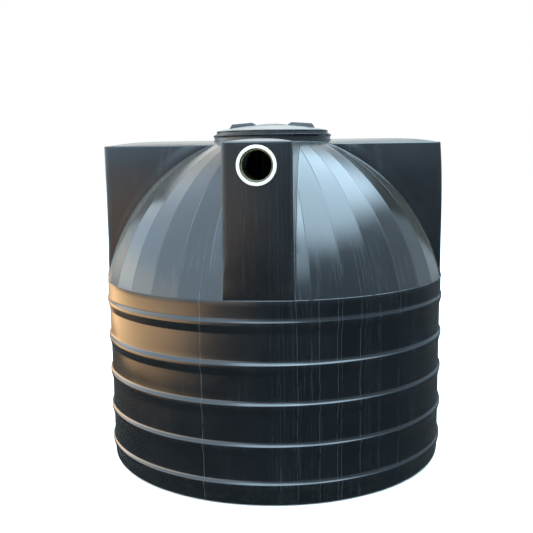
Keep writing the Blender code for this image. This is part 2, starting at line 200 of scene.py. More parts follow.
def closely_spaced(section: Array, step: float) -> Array:
    """Add points along the long edges of a closed section.

    The section is read as two functions of its own length, and both are sampled at
    the old points and at every multiple of the step that isn't close to one of them.

    Args:
        section: points (across, up) in order.
        step: largest spacing wanted.

    Returns:
        The same outline with more points.
    """
    closed = np.vstack((section, section[:1]))
    along = np.concatenate(([0], np.cumsum(np.linalg.norm(np.diff(closed, axis=0), axis=1))))
    wanted = np.arange(0, along[-1], step)
    near = np.abs(wanted[:, None] - along[None, :]).min(axis=1) < step * CLOSEST_SHARE
    samples = np.unique(np.concatenate((along[:-1], wanted[~near])))
    return np.stack([np.interp(samples, along, closed[:, axis]) for axis in (0, 1)], axis=-1)


@dataclass(frozen=True)
class Ripple:
    """Slow unevenness of a moulded wall, which bends what it reflects.

    The depth is a sum of sines of a whole number of turns of the azimuth plus some
    turns of the height, so that it closes round the axis. It is scaled to run from
    0 to the full depth and is taken off the wall, never added.
    """

    depth: float
    seed: int
    waves: int = 14
    most_lobes: int = 26
    turns_per_metre: float = 4.5
    full_swing: float = 5.0

    def at(self, azimuth: Array, height: Array) -> Array:
        """Depth at each point.

        Args:
            azimuth: angle from the front towards +X.
            height: level over the ground.

        Returns:
            Depth in metres, the broadcast shape of the inputs.
        """
        draw = np.random.default_rng(self.seed)
        lobes = draw.integers(2, self.most_lobes, self.waves)
        turns = draw.uniform(-self.turns_per_metre, self.turns_per_metre, self.waves)
        phase = draw.uniform(0, TAU, self.waves)
        azimuth, height = np.broadcast_arrays(azimuth, height)
        angle = azimuth[..., None] * lobes + height[..., None] * turns * TAU + phase
        wave = np.sin(angle).sum(axis=-1) / math.sqrt(self.waves / 2)
        return self.depth * np.clip(0.5 + wave / self.full_swing, 0, 1)


# Meshes from grids


@dataclass
class Patch:
    """A grid of points on the outer face of a shell, and the same on the inner.

    kept says which of the grid's quads are there. wear is a share from 0 to 1 at
    each point, for a finish that rubs or gathers dust there, or, on the olive pipe, that
    paints a highlight round its mouth.
    """

    outer: Array
    inner: Array | None = None
    kept: Array | None = None
    wear: Array | None = None
    closed_rows: bool = False
    closed_columns: bool = False

    def quads(self) -> Array:
        """Corner numbers of the grid's quads.

        Returns:
            An array of four corner numbers to a quad.
        """
        rows, columns = self.outer.shape[:2]
        index = np.arange(rows * columns).reshape(rows, columns)
        if self.closed_rows:
            index = np.vstack((index, index[:1]))
        if self.closed_columns:
            index = np.hstack((index, index[:, :1]))
        cells = np.stack((index[:-1, :-1], index[:-1, 1:], index[1:, 1:], index[1:, :-1]),
                         axis=-1)
        return cells[self.kept] if self.kept is not None else cells.reshape(-1, 4)


def joined(patches: list[Patch]) -> tuple[Array, Array, Array]:
    """Join patches into one body.

    The outer grids are laid one after another. Where there are inner grids they
    follow, turned round, and each edge that only one outer quad uses gets a quad
    that bridges it to the same edge of the inner grid, which closes the shell.

    Args:
        patches: the grids, which meet where their points coincide.

    Returns:
        Points, faces and the wear at each point.
    """
    starts = np.cumsum([0] + [patch.outer[..., 0].size for patch in patches])
    points = np.vstack([patch.outer.reshape(-1, 3) for patch in patches])
    faces = np.vstack([patch.quads() + start for patch, start in zip(patches, starts)])
    wear = np.concatenate([np.zeros(patch.outer[..., 0].size) if patch.wear is None
                           else patch.wear.ravel() for patch in patches])
    if patches[0].inner is None:
        return points, faces, wear
    count = len(points)
    welded = np.unique(np.round(points / WELD), axis=0, return_inverse=True)[1].ravel()
    edges = np.stack((faces, np.roll(faces, -1, axis=1)), axis=-1).reshape(-1, 2)
    ends = np.sort(welded[edges], axis=1)
    edges, ends = edges[ends[:, 0] != ends[:, 1]], ends[ends[:, 0] != ends[:, 1]]
    kind, uses = np.unique(ends, axis=0, return_inverse=True, return_counts=True)[1:]
    rim = edges[uses[kind.ravel()] == 1]
    bridge = np.stack((rim[:, 1], rim[:, 0], rim[:, 0] + count, rim[:, 1] + count), axis=-1)
    inner = np.vstack([patch.inner.reshape(-1, 3) for patch in patches])
    return (np.vstack((points, inner)), np.vstack((faces, faces[:, ::-1] + count, bridge)),
            np.concatenate((wear, np.zeros(count))))


def carried_round(section: Array, count: int, ripple: Ripple | None = None,
                  wear: Array | None = None) -> Patch:
    """Carry a closed section round the axis.

    A point of the section at (r, z) becomes a ring of points at equal azimuths.

    Args:
        section: points (radius, height) in order.
        count: points round the ring.
        ripple: unevenness that is taken off the radius.
        wear: a share at each point of the section.

    Returns:
        A patch that is closed both ways.
    """
    azimuth = np.arange(count)[None, :] * TAU / count
    radius, height = section[:, :1], section[:, 1:]
    depth = ripple.at(azimuth, height) if ripple else 0.0
    worn = np.tile(wear[:, None], (1, count)) if wear is not None else None
    return Patch(round_points(radius - depth, height, azimuth), wear=worn, closed_rows=True,
                 closed_columns=True)


@dataclass(frozen=True)
class Place:
    """Where a piece belongs: its body, its slot and the CAD nodes it stands for."""

    body: Body
    slot: Slot
    nodes: tuple[str, ...]


def add_piece(name: str, patches: list[Patch], place: Place, material: bpy.types.Material,
              sharp: float = SMOOTH_ANGLE) -> bpy.types.Object:
    """Make a finished piece from its patches.

    Args:
        name: the piece's name.
        patches: its grids.
        place: its body, slot and CAD nodes.
        material: its finish.
        sharp: edges that turn by more than this stay sharp.

    Returns:
        The piece, at the origin, with its place in its mesh.
    """
    points, faces, wear = joined(patches)
    mesh = bpy.data.meshes.new(name)
    mesh.from_pydata(points.tolist(), [], faces.tolist())
    shares = mesh.attributes.new("wear", "FLOAT", "POINT")
    shares.data.foreach_set("value", wear.astype(np.float32))
    shape = bmesh.new()
    shape.from_mesh(mesh)
    bmesh.ops.remove_doubles(shape, verts=shape.verts, dist=WELD)
    bmesh.ops.dissolve_degenerate(shape, dist=WELD / 10, edges=shape.edges)
    wires = [edge for edge in shape.edges if edge.is_wire]
    bmesh.ops.delete(shape, geom=wires, context="EDGES")
    loose = [vert for vert in shape.verts if not vert.link_edges]
    bmesh.ops.delete(shape, geom=loose, context="VERTS")
    bmesh.ops.recalc_face_normals(shape, faces=shape.faces)
    shape.to_mesh(mesh)
    shape.free()
    mesh.shade_smooth()
    mesh.set_sharp_from_angle(angle=sharp)
    mesh.materials.append(material)
    piece = bpy.data.objects.new(name, mesh)
    bpy.context.scene.collection.objects.link(piece)
    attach(piece, place.body.value)
    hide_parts(*place.nodes)
    LOG.info("%s: %d faces on %s for %s", name, len(mesh.polygons), place.body.value,
             ", ".join(place.nodes))
    return piece


# Finishes


def add_node(tree: bpy.types.NodeTree, kind: str, inputs: dict[str | int, object] | None = None,
             **settings: object) -> bpy.types.Node:
    """Add a shader node with its settings, values and links.

    Args:
        tree: the node tree.
        kind: the node's type, less the ShaderNode that all of them start with.
        inputs: for each input a value to set, a socket to link from, or a node, whose
            first output in use is linked.
        settings: properties of the node itself.

    Returns:
        The new node.
    """
    made = tree.nodes.new(f"ShaderNode{kind}")
    for key, value in settings.items():
        setattr(made, key, value)
    for socket, value in (inputs or {}).items():
        if isinstance(value, bpy.types.Node):
            value = next(output for output in value.outputs if output.enabled)
        if isinstance(value, bpy.types.NodeSocket):
            tree.links.new(value, made.inputs[socket])
        else:
            made.inputs[socket].default_value = value
    return made


@dataclass(frozen=True)
class Noise:
    """A noise whose values within a span are stretched to run from one share to another.

    scale is in cells to a metre.
    """

    scale: float
    detail: float
    roughness: float
    span: tuple[float, float]
    change: str = "LINEAR"

    def share(self, tree: bpy.types.NodeTree, place: bpy.types.NodeSocket | bpy.types.Node,
              low: float = 0.0, high: float = 1.0) -> bpy.types.Node:
        """Add the noise to a material.

        Args:
            tree: the material's node tree.
            place: what the noise is read at.
            low: share at the start of the span.
            high: share at its end.

        Returns:
            Node of the share.
        """
        noise = add_node(tree, "TexNoise", {"Vector": place, "Scale": self.scale,
                                            "Detail": self.detail, "Roughness": self.roughness})
        return add_node(tree, "MapRange", {"Value": noise, "From Min": self.span[0],
                                           "From Max": self.span[1], "To Min": low,
                                           "To Max": high}, interpolation_type=self.change)


@dataclass(frozen=True)
class Drip:
    """One long pale drip down the wall: its azimuth in degrees and how strong it is."""

    azimuth: float
    strength: float


@dataclass(frozen=True)
class Polyethylene:
    """Polyethylene with carbon black, moulded by rotation.

    The powder melts against the mould, so the skin is a soft satin gloss over a
    slight orange peel, and it shows every drip, rub and film of dust. Sizes are those
    of the real thing, but peel and drips are drawn coarser, so that they show. haze
    is a dry bloom that pales what is seen at a slant.
    """

    name: str
    colour: str = "#060809"
    faded_colour: str = "#0b0e10"
    rubbed_colour: str = "#1b1f22"
    dust_colour: str = "#6d6f6a"
    drip_colour: str = "#aab0b0"
    haze_colour: str = "#dccdb4"
    ior: float = 1.51
    roughness: float = 0.17
    uneven_roughness: float = 0.09
    rub_roughness: float = 0.25
    dust_roughness: float = 0.45
    drip_roughness: float = 0.25
    haze_roughness: float = 0.35
    dust: float = 0.25
    splashes: float = 0.07
    splash_height: float = 0.13
    haze: float = 0.03
    runs: float = 0.02
    specks: float = 0.20
    drips: tuple[Drip, ...] = ()
    drip_width_mm: float = 1.3
    drip_sway_mm: float = 14.0
    run_width_mm: float = 5.0
    run_stretch: float = 0.03
    speck_spacing_mm: float = 55.0
    speck_mm: float = 1.6
    cloud_mm: float = 160.0
    peel_mm: float = 6.0
    peel_depth_mm: float = 0.006
    dent_mm: float = 120.0
    dent_depth_mm: float = 0.25
    wander_scale: float = 7.0
    speck_choice: float = 0.72
    blotches: Noise = Noise(14.0, 6.0, 0.6, (0.35, 0.7))
    spatter: Noise = Noise(70.0, 5.0, 0.7, (0.5, 0.72))
    gathering: Noise = Noise(5.0, 3.0, 0.5, (0.38, 0.62), "SMOOTHSTEP")
    breaks: Noise = Noise(22.0, 4.0, 0.5, (0.30, 0.50))
    grit: Noise = Noise(38.0, 6.0, 0.65, (0.46, 0.72))

    def dusty(self, tree: bpy.types.NodeTree, place: bpy.types.NodeSocket,
              rise: bpy.types.NodeSocket) -> bpy.types.Node:
        """Film of dust on faces that look up, and splashes at the foot.

        Args:
            tree: the material's node tree.
            place: position on the object.
            rise: how far the face looks up, from -1 to 1.

        Returns:
            Node of the share of dust.
        """
        faces_up = add_node(tree, "MapRange", {"Value": rise, "From Min": 0.90, "From Max": 1.0,
                                               "To Max": self.dust})
        uneven = self.blotches.share(tree, place, 0.35)
        height = add_node(tree, "SeparateXYZ", {0: place}).outputs["Z"]
        low = add_node(tree, "MapRange", {"Value": height, "From Min": self.splash_height,
                                          "From Max": 0.0, "To Max": self.splashes})
        spots = self.spatter.share(tree, place)
        settled, splashed = (add_node(tree, "Math", {0: share, 1: pattern}, operation="MULTIPLY")
                             for share, pattern in ((faces_up, uneven), (low, spots)))
        return add_node(tree, "Math", {0: settled, 1: splashed}, operation="MAXIMUM")

    def running(self, tree: bpy.types.NodeTree, place: bpy.types.NodeSocket) -> bpy.types.Node:
        """Faint runs in patches, from noise that hardly changes with height.

        Args:
            tree: the material's node tree.
            place: position on the object.

        Returns:
            Node of the share of the runs.
        """
        flat = add_node(tree, "VectorMath", {0: place, 1: (1.0, 1.0, 0.0)}, operation="MULTIPLY")
        unit = add_node(tree, "VectorMath", {0: flat}, operation="NORMALIZE")
        fall = add_node(tree, "VectorMath", {0: place, 1: (0.0, 0.0, self.run_stretch)},
                        operation="MULTIPLY")
        along = add_node(tree, "VectorMath", {0: unit, 1: (WALL_RADIUS,) * 3, 2: fall},
                         operation="MULTIPLY_ADD")
        fine = Noise(1000 / self.run_width_mm, 4.0, 0.6, (0.56, 0.74))
        lines = fine.share(tree, along, high=self.runs)
        gathered = self.gathering.share(tree, place)
        return add_node(tree, "Math", {0: lines, 1: gathered}, operation="MULTIPLY")

    def streaked(self, tree: bpy.types.NodeTree, place: bpy.types.NodeSocket,
                 rise: bpy.types.NodeSocket) -> bpy.types.Node:
        """Pale drips and faint runs down the sides, which fade out up the dome.

        A drip is a thin band round its own azimuth, swayed a little by noise and
        broken up along its length.

        Args:
            tree: the material's node tree.
            place: position on the object.
            rise: how far the face looks up, from -1 to 1.

        Returns:
            Node of the share of the drips' colour.
        """
        total = self.running(tree, place)
        split = add_node(tree, "SeparateXYZ", {0: place})
        back = add_node(tree, "Math", {0: split.outputs["Y"], 1: -1.0}, operation="MULTIPLY")
        azimuth = add_node(tree, "Math", {0: split.outputs["X"], 1: back}, operation="ARCTAN2")
        sway = self.drip_sway_mm / 1000 / WALL_RADIUS
        half_width = self.drip_width_mm / 2000 / WALL_RADIUS
        wander = add_node(tree, "TexNoise", {"Vector": place, "Scale": self.wander_scale,
                                             "Detail": 2.0})
        swayed = add_node(tree, "Math", {0: wander, 1: sway, 2: azimuth}, operation="MULTIPLY_ADD")
        whole = self.breaks.share(tree, place)
        for drip in self.drips:
            middle = math.radians(drip.azimuth) + sway / 2
            band = add_node(tree, "Math", {0: swayed, 1: middle, 2: half_width},
                            operation="COMPARE")
            seen = add_node(tree, "Math", {0: band, 1: whole}, operation="MULTIPLY")
            total = add_node(tree, "Math", {0: seen, 1: drip.strength, 2: total},
                             operation="MULTIPLY_ADD")
        upright = add_node(tree, "MapRange", {"Value": rise, "From Min": 0.62, "From Max": 0.35})
        return add_node(tree, "Math", {0: total, 1: upright}, operation="MULTIPLY", use_clamp=True)

    def marked(self, tree: bpy.types.NodeTree, place: bpy.types.NodeSocket) -> bpy.types.Node:
        """Rubs along the edges that stand out, and a scatter of small knocks.

        Args:
            tree: the material's node tree.
            place: position on the object.

        Returns:
            Node of the share of the rubbed colour.
        """
        wear = add_node(tree, "Attribute", attribute_name="wear").outputs["Fac"]
        worn = add_node(tree, "Math", {0: wear, 1: self.grit.share(tree, place)},
                        operation="MULTIPLY")
        cells = add_node(tree, "TexVoronoi", {"Vector": place,
                                              "Scale": 1000 / self.speck_spacing_mm})
        share = self.speck_mm / self.speck_spacing_mm
        dots = add_node(tree, "MapRange", {"Value": cells.outputs["Distance"], "From Min": share,
                                           "From Max": share / 2, "To Max": self.specks})
        lot = add_node(tree, "SeparateColor", {0: cells.outputs["Color"]})
        chosen = add_node(tree, "Math", {0: lot, 1: self.speck_choice}, operation="GREATER_THAN")
        knocks = add_node(tree, "Math", {0: dots, 1: chosen}, operation="MULTIPLY")
        return add_node(tree, "Math", {0: worn, 1: knocks}, operation="MAXIMUM")

    def uneven(self, tree: bpy.types.NodeTree, place: bpy.types.NodeSocket) -> bpy.types.Node:
        """Orange peel over slow shallow dents, as a bent normal.

        Args:
            tree: the material's node tree.
            place: position on the object.

        Returns:
            Node of the normal.
        """
        dents, peel = (
            {"Height": add_node(tree, "TexNoise", {"Vector": place, "Scale": 1000 / size,
                                                   "Detail": detail}), "Distance": depth / 1000}
            for size, depth, detail in ((self.dent_mm, self.dent_depth_mm, 1.0),
                                        (self.peel_mm, self.peel_depth_mm, 2.0)))
        return add_node(tree, "Bump", {**peel, "Normal": add_node(tree, "Bump", dents)})

    def material(self) -> bpy.types.Material:
        """Build the finish as a material.

        Returns:
            The material.
        """
        made = bpy.data.materials.new(self.name)
        made.use_nodes = True
        tree = made.node_tree
        shader = tree.nodes["Principled BSDF"]
        surface = add_node(tree, "TexCoord")
        place = surface.outputs["Object"]
        rise = add_node(tree, "SeparateXYZ", {0: surface.outputs["Normal"]}).outputs["Z"]
        cloud = add_node(tree, "TexNoise", {"Vector": place, "Scale": 1000 / self.cloud_mm,
                                            "Detail": 5.0, "Roughness": 0.6})
        colour = add_node(tree, "Mix", {0: cloud, 6: linear(self.colour),
                                        7: linear(self.faded_colour)}, data_type="RGBA")
        dull = add_node(tree, "MapRange", {"Value": cloud, "From Min": 0.3, "From Max": 0.7,
                                           "To Min": self.roughness,
                                           "To Max": self.roughness + self.uneven_roughness})
        for share, over, rougher in (
            (self.marked(tree, place), self.rubbed_colour, self.rub_roughness),
            (self.dusty(tree, place, rise), self.dust_colour, self.dust_roughness),
            (self.streaked(tree, place, rise), self.drip_colour, self.drip_roughness),
        ):
            colour = add_node(tree, "Mix", {0: share, 6: colour, 7: linear(over)}, data_type="RGBA")
            dull = add_node(tree, "Math", {0: share, 1: rougher, 2: dull},
                            operation="MULTIPLY_ADD", use_clamp=True)
        link_surface(tree, colour, dull, self.uneven(tree, place))
        for word, value in (("IOR", self.ior), ("Sheen Weight", self.haze),
                            ("Sheen Roughness", self.haze_roughness),
                            ("Sheen Tint", linear(self.haze_colour))):
            shader.inputs[word].default_value = value
        return made


def link_surface(tree: bpy.types.NodeTree, colour: bpy.types.Node, dull: bpy.types.Node,
                 normal: bpy.types.Node) -> None:
    """Link a finish's colour, roughness and normal to its shader.

    Args:
        tree: the material's node tree.
        colour: a mix of colours.
        dull: the roughness.
        normal: the bent normal.
    """
    shader = tree.nodes["Principled BSDF"]
    tree.links.new(colour.outputs[2], shader.inputs["Base Color"])
    tree.links.new(dull.outputs[0], shader.inputs["Roughness"])
    tree.links.new(normal.outputs["Normal"], shader.inputs["Normal"])


@dataclass(frozen=True)
class Smooth:
    """A smooth moulded, extruded or painted surface that has gathered some grime.

    grain is the size of its fine unevenness and cloud the size of its blotches. Where
    the piece carries a wear share, the lip highlight colour shows through. This is a
    painted highlight, for the light that the lip of the olive pipe catches.
    """

    name: str
    colour: str
    grime_colour: str
    roughness: float
    ior: float = 1.5
    grime: float = 0.5
    cloud_mm: float = 25.0
    grain_mm: float = 2.5
    grain_depth_mm: float = 0.02
    grime_roughness: float = 0.35
    # Painted highlight: a paler colour that the wear share mixes in, for light caught at a lip.
    lip_highlight_colour: str | None = None

    def material(self) -> bpy.types.Material:
        """Build the finish as a material.

        Returns:
            The material.
        """
        made = bpy.data.materials.new(self.name)
        made.use_nodes = True
        tree = made.node_tree
        place = add_node(tree, "TexCoord").outputs["Object"]
        cloud = Noise(1000 / self.cloud_mm, 6.0, 0.62, (0.42, 0.78))
        share = cloud.share(tree, place, high=self.grime)
        colour = add_node(tree, "Mix", {0: share, 6: linear(self.colour),
                                        7: linear(self.grime_colour)}, data_type="RGBA")
        # Painted highlight: the wear share mixes the paler lip colour in round a mouth.
        if self.lip_highlight_colour:
            rim = add_node(tree, "Attribute", attribute_name="wear").outputs["Fac"]
            colour = add_node(tree, "Mix", {0: rim, 6: colour, 7: linear(self.lip_highlight_colour)},
                              data_type="RGBA")
        dull = add_node(tree, "Math", {0: share, 1: self.grime_roughness, 2: self.roughness},
                        operation="MULTIPLY_ADD", use_clamp=True)
        grain = add_node(tree, "TexNoise", {"Vector": place, "Scale": 1000 / self.grain_mm,
                                            "Detail": 2.0})
        bump = add_node(tree, "Bump", {"Height": grain, "Distance": self.grain_depth_mm / 1000})
        link_surface(tree, colour, dull, bump)
        tree.nodes["Principled BSDF"].inputs["IOR"].default_value = self.ior
        return made


@dataclass(frozen=True)
class Finishes:
    """Every finish of the object, made once."""

    shell: bpy.types.Material
    dome: bpy.types.Material
    lid: bpy.types.Material
    grip: bpy.types.Material
    socket: bpy.types.Material
    pipe: bpy.types.Material
    seal: bpy.types.Material

    @classmethod
    def made(cls) -> Finishes:
        """Make the materials.

        Returns:
            The set.
        """
        draw = np.random.default_rng(FAINT_DRIP_SEED)
        azimuths = draw.uniform(*FAINT_DRIP_AZIMUTHS, FAINT_DRIPS).tolist()
        strengths = draw.uniform(*FAINT_DRIP_STRENGTHS, FAINT_DRIPS).tolist()
        drips = tuple(Drip(*values) for values in (*zip(azimuths, strengths), *STRONG_DRIPS))
        return cls(
            shell=Polyethylene("polyethylene_rotomoulded_shell", drips=drips).material(),
            dome=Polyethylene("polyethylene_rotomoulded_dusty_dome", haze=0.13, drips=drips,
                              runs=0.06, run_width_mm=3.5).material(),
            lid=Polyethylene("polyethylene_moulded_lid", "#0d1011", "#15191b",
                             dust_colour="#868b86", dust=0.30, runs=0.0,
                             dent_depth_mm=0.05).material(),
            grip=Polyethylene("polyethylene_moulded_grip", "#121415", "#181a1b", roughness=0.55,
                              dust=0.03, runs=0.0, peel_mm=3.0).material(),
            socket=Smooth("pvc_moulded_white", "#a89f92", "#7c7463", roughness=0.28, ior=1.53,
                          grime=0.4).material(),
            # The olive pipe's paler lip colour is a painted highlight round its mouth.
            pipe=Smooth("pvc_extruded_olive", "#33301c", "#1d1a10", roughness=0.35, ior=1.53,
                        grime=0.8, cloud_mm=40.0, lip_highlight_colour="#7d7845").material(),
            seal=Smooth("rubber_moulded_seal", "#131313", "#35332e", roughness=0.55, ior=1.52,
                        cloud_mm=12.0, grain_mm=1.2).material(),
        )


# The tank


@dataclass(frozen=True)
class Wall:
    """The round wall: five ribs, a plain band, a ledge and a rounded foot.

    draft is how much wider it is at the ledge than at the foot. cove_share is a
    cove's radius as a share of the largest that fits. The shelf carries the dome.
    """

    radius: float = WALL_RADIUS
    draft: float = 0.0025
    band_radius: float = 0.6155
    ledge_z: float = LEDGE_Z
    rib_levels: tuple[float, ...] = (0.082, 0.206, 0.338, 0.465, 0.598)
    rib_height: float = 0.007
    rib_rise: float = 0.016
    rib_crest: float = 0.010
    rib_fall: float = 0.026
    rib_foot_round: float = 0.006
    rib_shoulder_round: float = 0.010
    crest_round: float = 0.0035
    cove_share: float = 0.80
    ledge_round: float = 0.0022
    shelf_round: float = 0.004
    wear: float = 0.20
    wear_power: int = 6
    thickness: float = THICKNESS
    shelf_width: float = 0.022
    shelf_depth: float = 0.010
    floor_radius: float = 0.5803
    floor_thickness: float = 0.010
    foot_round: float = 0.020
    facets: int = 432
    round_steps: int = 5
    step: float = 0.014
    ripple: Ripple = Ripple(0.0014, 11)

    def valley(self, height: float | Array) -> float | Array:
        """Outer radius between the ribs, a little less lower down."""
        return self.radius + self.draft * height / self.ledge_z

    def section(self) -> Array:
        """Closed section of the wall, outer face going up and inner face down.

        A rib's upper slope is a cove: an arc that leaves the wall upright and turns
        by twice atan(height / rise) until the crest. The corner that it rounds lies
        where the arc's two tangents meet. The lower slope is long.

        Returns:
            Points (radius, height).
        """
        corners = [(self.floor_radius, 0.0, 0.0), (self.valley(0), 0.0, self.foot_round)]
        for level in self.rib_levels:
            top = level + self.rib_rise / 2
            crest_top = top - self.rib_rise
            crest_foot = crest_top - self.rib_crest
            foot = crest_foot - self.rib_fall
            upper = self.band_radius if level == max(self.rib_levels) else self.valley(top)
            crest = self.valley(crest_top) + self.rib_height
            ratio = (crest - upper) / self.rib_rise
            tangent = self.rib_rise * (1 + ratio ** 2) / 2
            corners += [
                (self.valley(foot), foot, self.rib_foot_round),
                (self.valley(crest_foot) + self.rib_height, crest_foot, self.rib_shoulder_round),
                (crest, crest_top, self.crest_round),
                (upper, top - tangent, tangent * self.cove_share / ratio),
            ]
        shelf = self.band_radius - self.thickness - self.shelf_width
        shelf_z = self.ledge_z - self.shelf_depth
        inner = self.valley(shelf_z) - self.thickness
        corners += [
            (self.band_radius, self.ledge_z, self.ledge_round),
            (shelf, self.ledge_z, 0.0),
            (shelf, shelf_z, 0.0),
            (inner, shelf_z - self.shelf_width / 2, self.shelf_round),
            (self.valley(0) - self.thickness, self.floor_thickness,
             self.foot_round - self.thickness),
            (self.floor_radius, self.floor_thickness, 0.0),
        ]
        return closely_spaced(rounded(corners, self.round_steps), self.step)

    def build(self, finishes: Finishes) -> None:
        """Make the wall as one piece.

        Args:
            finishes: the object's materials.
        """
        nodes = tuple(f"wall_segment_{number}" for number in range(1, 9))
        place = Place(Body.TANK, Slot.SHELL, nodes)
        section = self.section()
        stands_out = (section[:, 0] - self.valley(section[:, 1])) / self.rib_height
        wear = self.wear * np.clip(stands_out, 0, 1) ** self.wear_power
        patch = carried_round(section, self.facets, self.ripple, wear)
        add_piece("ribbed_wall", [patch], place, finishes.shell)


@dataclass(frozen=True)
class Dome:
    """The dome of flat gores, in four quarters between the boxes.

    A lap is how far it runs on into its neighbour. crease_lines are the grid's lines
    beside a crease, in half widths of its groove.
    """

    foot_radius: float = 0.6145
    foot_z: float = 0.6583
    crown_radius: float = 0.2141
    crown_z: float = CROWN_Z
    foot_lap: float = 0.003
    crown_lap: float = 0.0012
    arc_radius: float = 0.679
    thickness: float = THICKNESS
    gores: int = 36
    side: float = BOX_HALF_WIDTH
    side_lap: float = 0.001
    box_top_z: float = BOX_TOP_Z
    crease_width: float = 0.0012
    crease_depth: float = 0.0005
    crease_lines: tuple[float, ...] = (-2.5, -1.0, 1.0, 2.5)
    fillet: float = 0.006
    least_fillet: float = 0.0004
    fillet_fade: float = 0.7
    fillet_steps: int = 8
    gore_steps: int = 6
    rows: int = 84
    sharp: float = math.radians(14)
    ripple: Ripple = Ripple(0.0006, 23, 12, 9, 2.0)

    @property
    def gore(self) -> float:
        """Angle of one gore."""
        return TAU / self.gores

    def centre(self) -> tuple[float, float]:
        """Centre of the arc in section.

        It lies on the normal through the middle of the chord from foot to crown.

        Returns:
            Radius and height of the centre.
        """
        across, up = self.crown_radius - self.foot_radius, self.crown_z - self.foot_z
        chord = math.hypot(across, up)
        drop = math.sqrt(self.arc_radius ** 2 - (chord / 2) ** 2)
        return ((self.foot_radius + self.crown_radius) / 2 - up / chord * drop,
                (self.foot_z + self.crown_z) / 2 + across / chord * drop)

    def height_at(self, radius: Array) -> Array:
        """Height of the outer face over a radius, from the circle of the arc."""
        centre_radius, centre_z = self.centre()
        inside = np.maximum(self.arc_radius ** 2 - (radius - centre_radius) ** 2, 0)
        return centre_z + np.sqrt(inside)

    def flat_radius(self, ring: Array, azimuth: Array) -> Array:
        """Radius of the flat gores at an azimuth.

        A gore is the chord between two creases, so its radius is the crease's times
        cos(half a gore) over cos(the angle from the middle of the gore).

        Args:
            ring: radius of the creases.
            azimuth: angle from the front towards +X.

        Returns:
            Radius of the face.
        """
        local = (azimuth + self.gore / 2) % self.gore - self.gore / 2
        return ring * math.cos(self.gore / 2) / np.cos(local)

    def azimuth_where(self, across: Array, ring: Array) -> Array:
        """Azimuth at which the flat gores reach a distance from the plane x = 0.

        Every gore k lies on a line with its normal at k gores, and the nearest of
        the lines is the face.

        Args:
            across: the distance x, shape (columns,) or scalar.
            ring: radius of the creases, shape (rows, 1).

        Returns:
            Azimuths, shape (rows, columns).
        """
        middles = np.arange(0, self.gores // 4) * self.gore
        across = np.asarray(across)[..., None]
        flat = ring[..., None] * math.cos(self.gore / 2)
        out = ((flat - across * np.sin(middles)) / np.cos(middles)).min(axis=-1)
        return np.arctan2(across[..., 0], out)

    def fillets(self, ring: Array) -> Array:
        """Fillet radius against a box at each level, which fades under the box's top.

        Args:
            ring: radius of the creases, shape (rows, 1).

        Returns:
            Radii, shape (rows, 1).
        """
        room = self.box_top_z - self.height_at(ring)
        return np.clip(room * self.fillet_fade, self.least_fillet, self.fillet)

    def columns(self, ring: Array) -> Array:
        """Azimuth of every grid point of a quarter.

        Columns follow the creases, both lips of their grooves and a line beside each
        lip, so that the gores stay flat. Towards a box they stop where its fillet
        starts, and the fillet has columns of its own.

        Args:
            ring: radius of the creases, shape (rows, 1).

        Returns:
            Azimuths from the front, shape (rows, columns).
        """
        half = self.gore_steps // 2
        steps = np.arange(half, self.gore_steps * (self.gores // 4 - 1) + half + 1) + half
        between = steps * self.gore / self.gore_steps
        creases = between[(steps - half) % self.gore_steps == 0]
        lip = self.crease_width / ring
        parts = [np.broadcast_to(between, (len(ring), len(between)))]
        parts += [creases + lip * side for side in self.crease_lines]
        across = np.sort(np.hstack(parts), axis=1)
        fillet = self.fillets(ring)
        turn = np.linspace(QUARTER, 0, self.fillet_steps + 1)
        near = self.side + fillet * (1 - np.sin(turn))
        edge = self.azimuth_where(near, ring)
        embed = self.azimuth_where(np.full(1, self.side - self.side_lap), ring)
        middle = np.clip(across, edge[:, -1:], QUARTER - edge[:, -1:])
        first = np.hstack((embed, edge[:, :-1]))
        return np.hstack((first, middle, QUARTER - first[:, ::-1]))

    def grid(self, inset: float) -> Array:
        """Points of one quarter, from the front box to the right box.

        The outer face has the grooves along the creases, the fillets against the
        boxes and the ripple, each as a shift along the normal. The inner face is the
        same arc with a smaller radius.

        Args:
            inset: distance inside the outer face, 0 for that face itself.

        Returns:
            Points, shape (rows, columns, 3).
        """
        centre_radius, centre_z = self.centre()
        low = math.asin((self.foot_z - self.foot_lap - centre_z) / self.arc_radius)
        high = math.acos((self.crown_radius - self.crown_lap - centre_radius) / self.arc_radius)
        rise = np.linspace(low, high, self.rows)[:, None]
        ring = centre_radius + self.arc_radius * np.cos(rise)
        azimuth = self.columns(ring)
        own = self.arc_radius - inset
        face = self.flat_radius(centre_radius + own * np.cos(rise), azimuth)
        level = centre_z + own * np.sin(rise)
        if inset:
            return round_points(face, level, azimuth)
        crease = np.abs((azimuth % self.gore) - self.gore / 2) * ring / self.crease_width
        shift = -self.crease_depth * np.clip(1 - crease, 0, 1)
        fillet = self.fillets(ring)
        for gap in (face * np.sin(azimuth), face * np.cos(azimuth)):
            near = np.clip(fillet - (gap - self.side), 0, fillet)
            shift = shift + fillet - np.sqrt(fillet ** 2 - near ** 2)
        shift = shift - self.ripple.at(azimuth, level)
        return round_points(face + shift * np.cos(rise), level + shift * np.sin(rise), azimuth)

    def build(self, finishes: Finishes) -> None:
        """Make the four quarters.

        Args:
            finishes: the object's materials.
        """
        outer, inner = self.grid(0.0), self.grid(self.thickness)
        for number, word in enumerate(("front_right", "rear_right", "rear_left", "front_left")):
            angle = number * QUARTER
            patch = Patch(turn_about_axis(outer, angle), turn_about_axis(inner, angle))
            place = Place(Body.TANK, Slot.SHELL, (f"dome_{word}",))
            add_piece(f"dome_shell_{word}", [patch], place, finishes.dome, self.sharp)


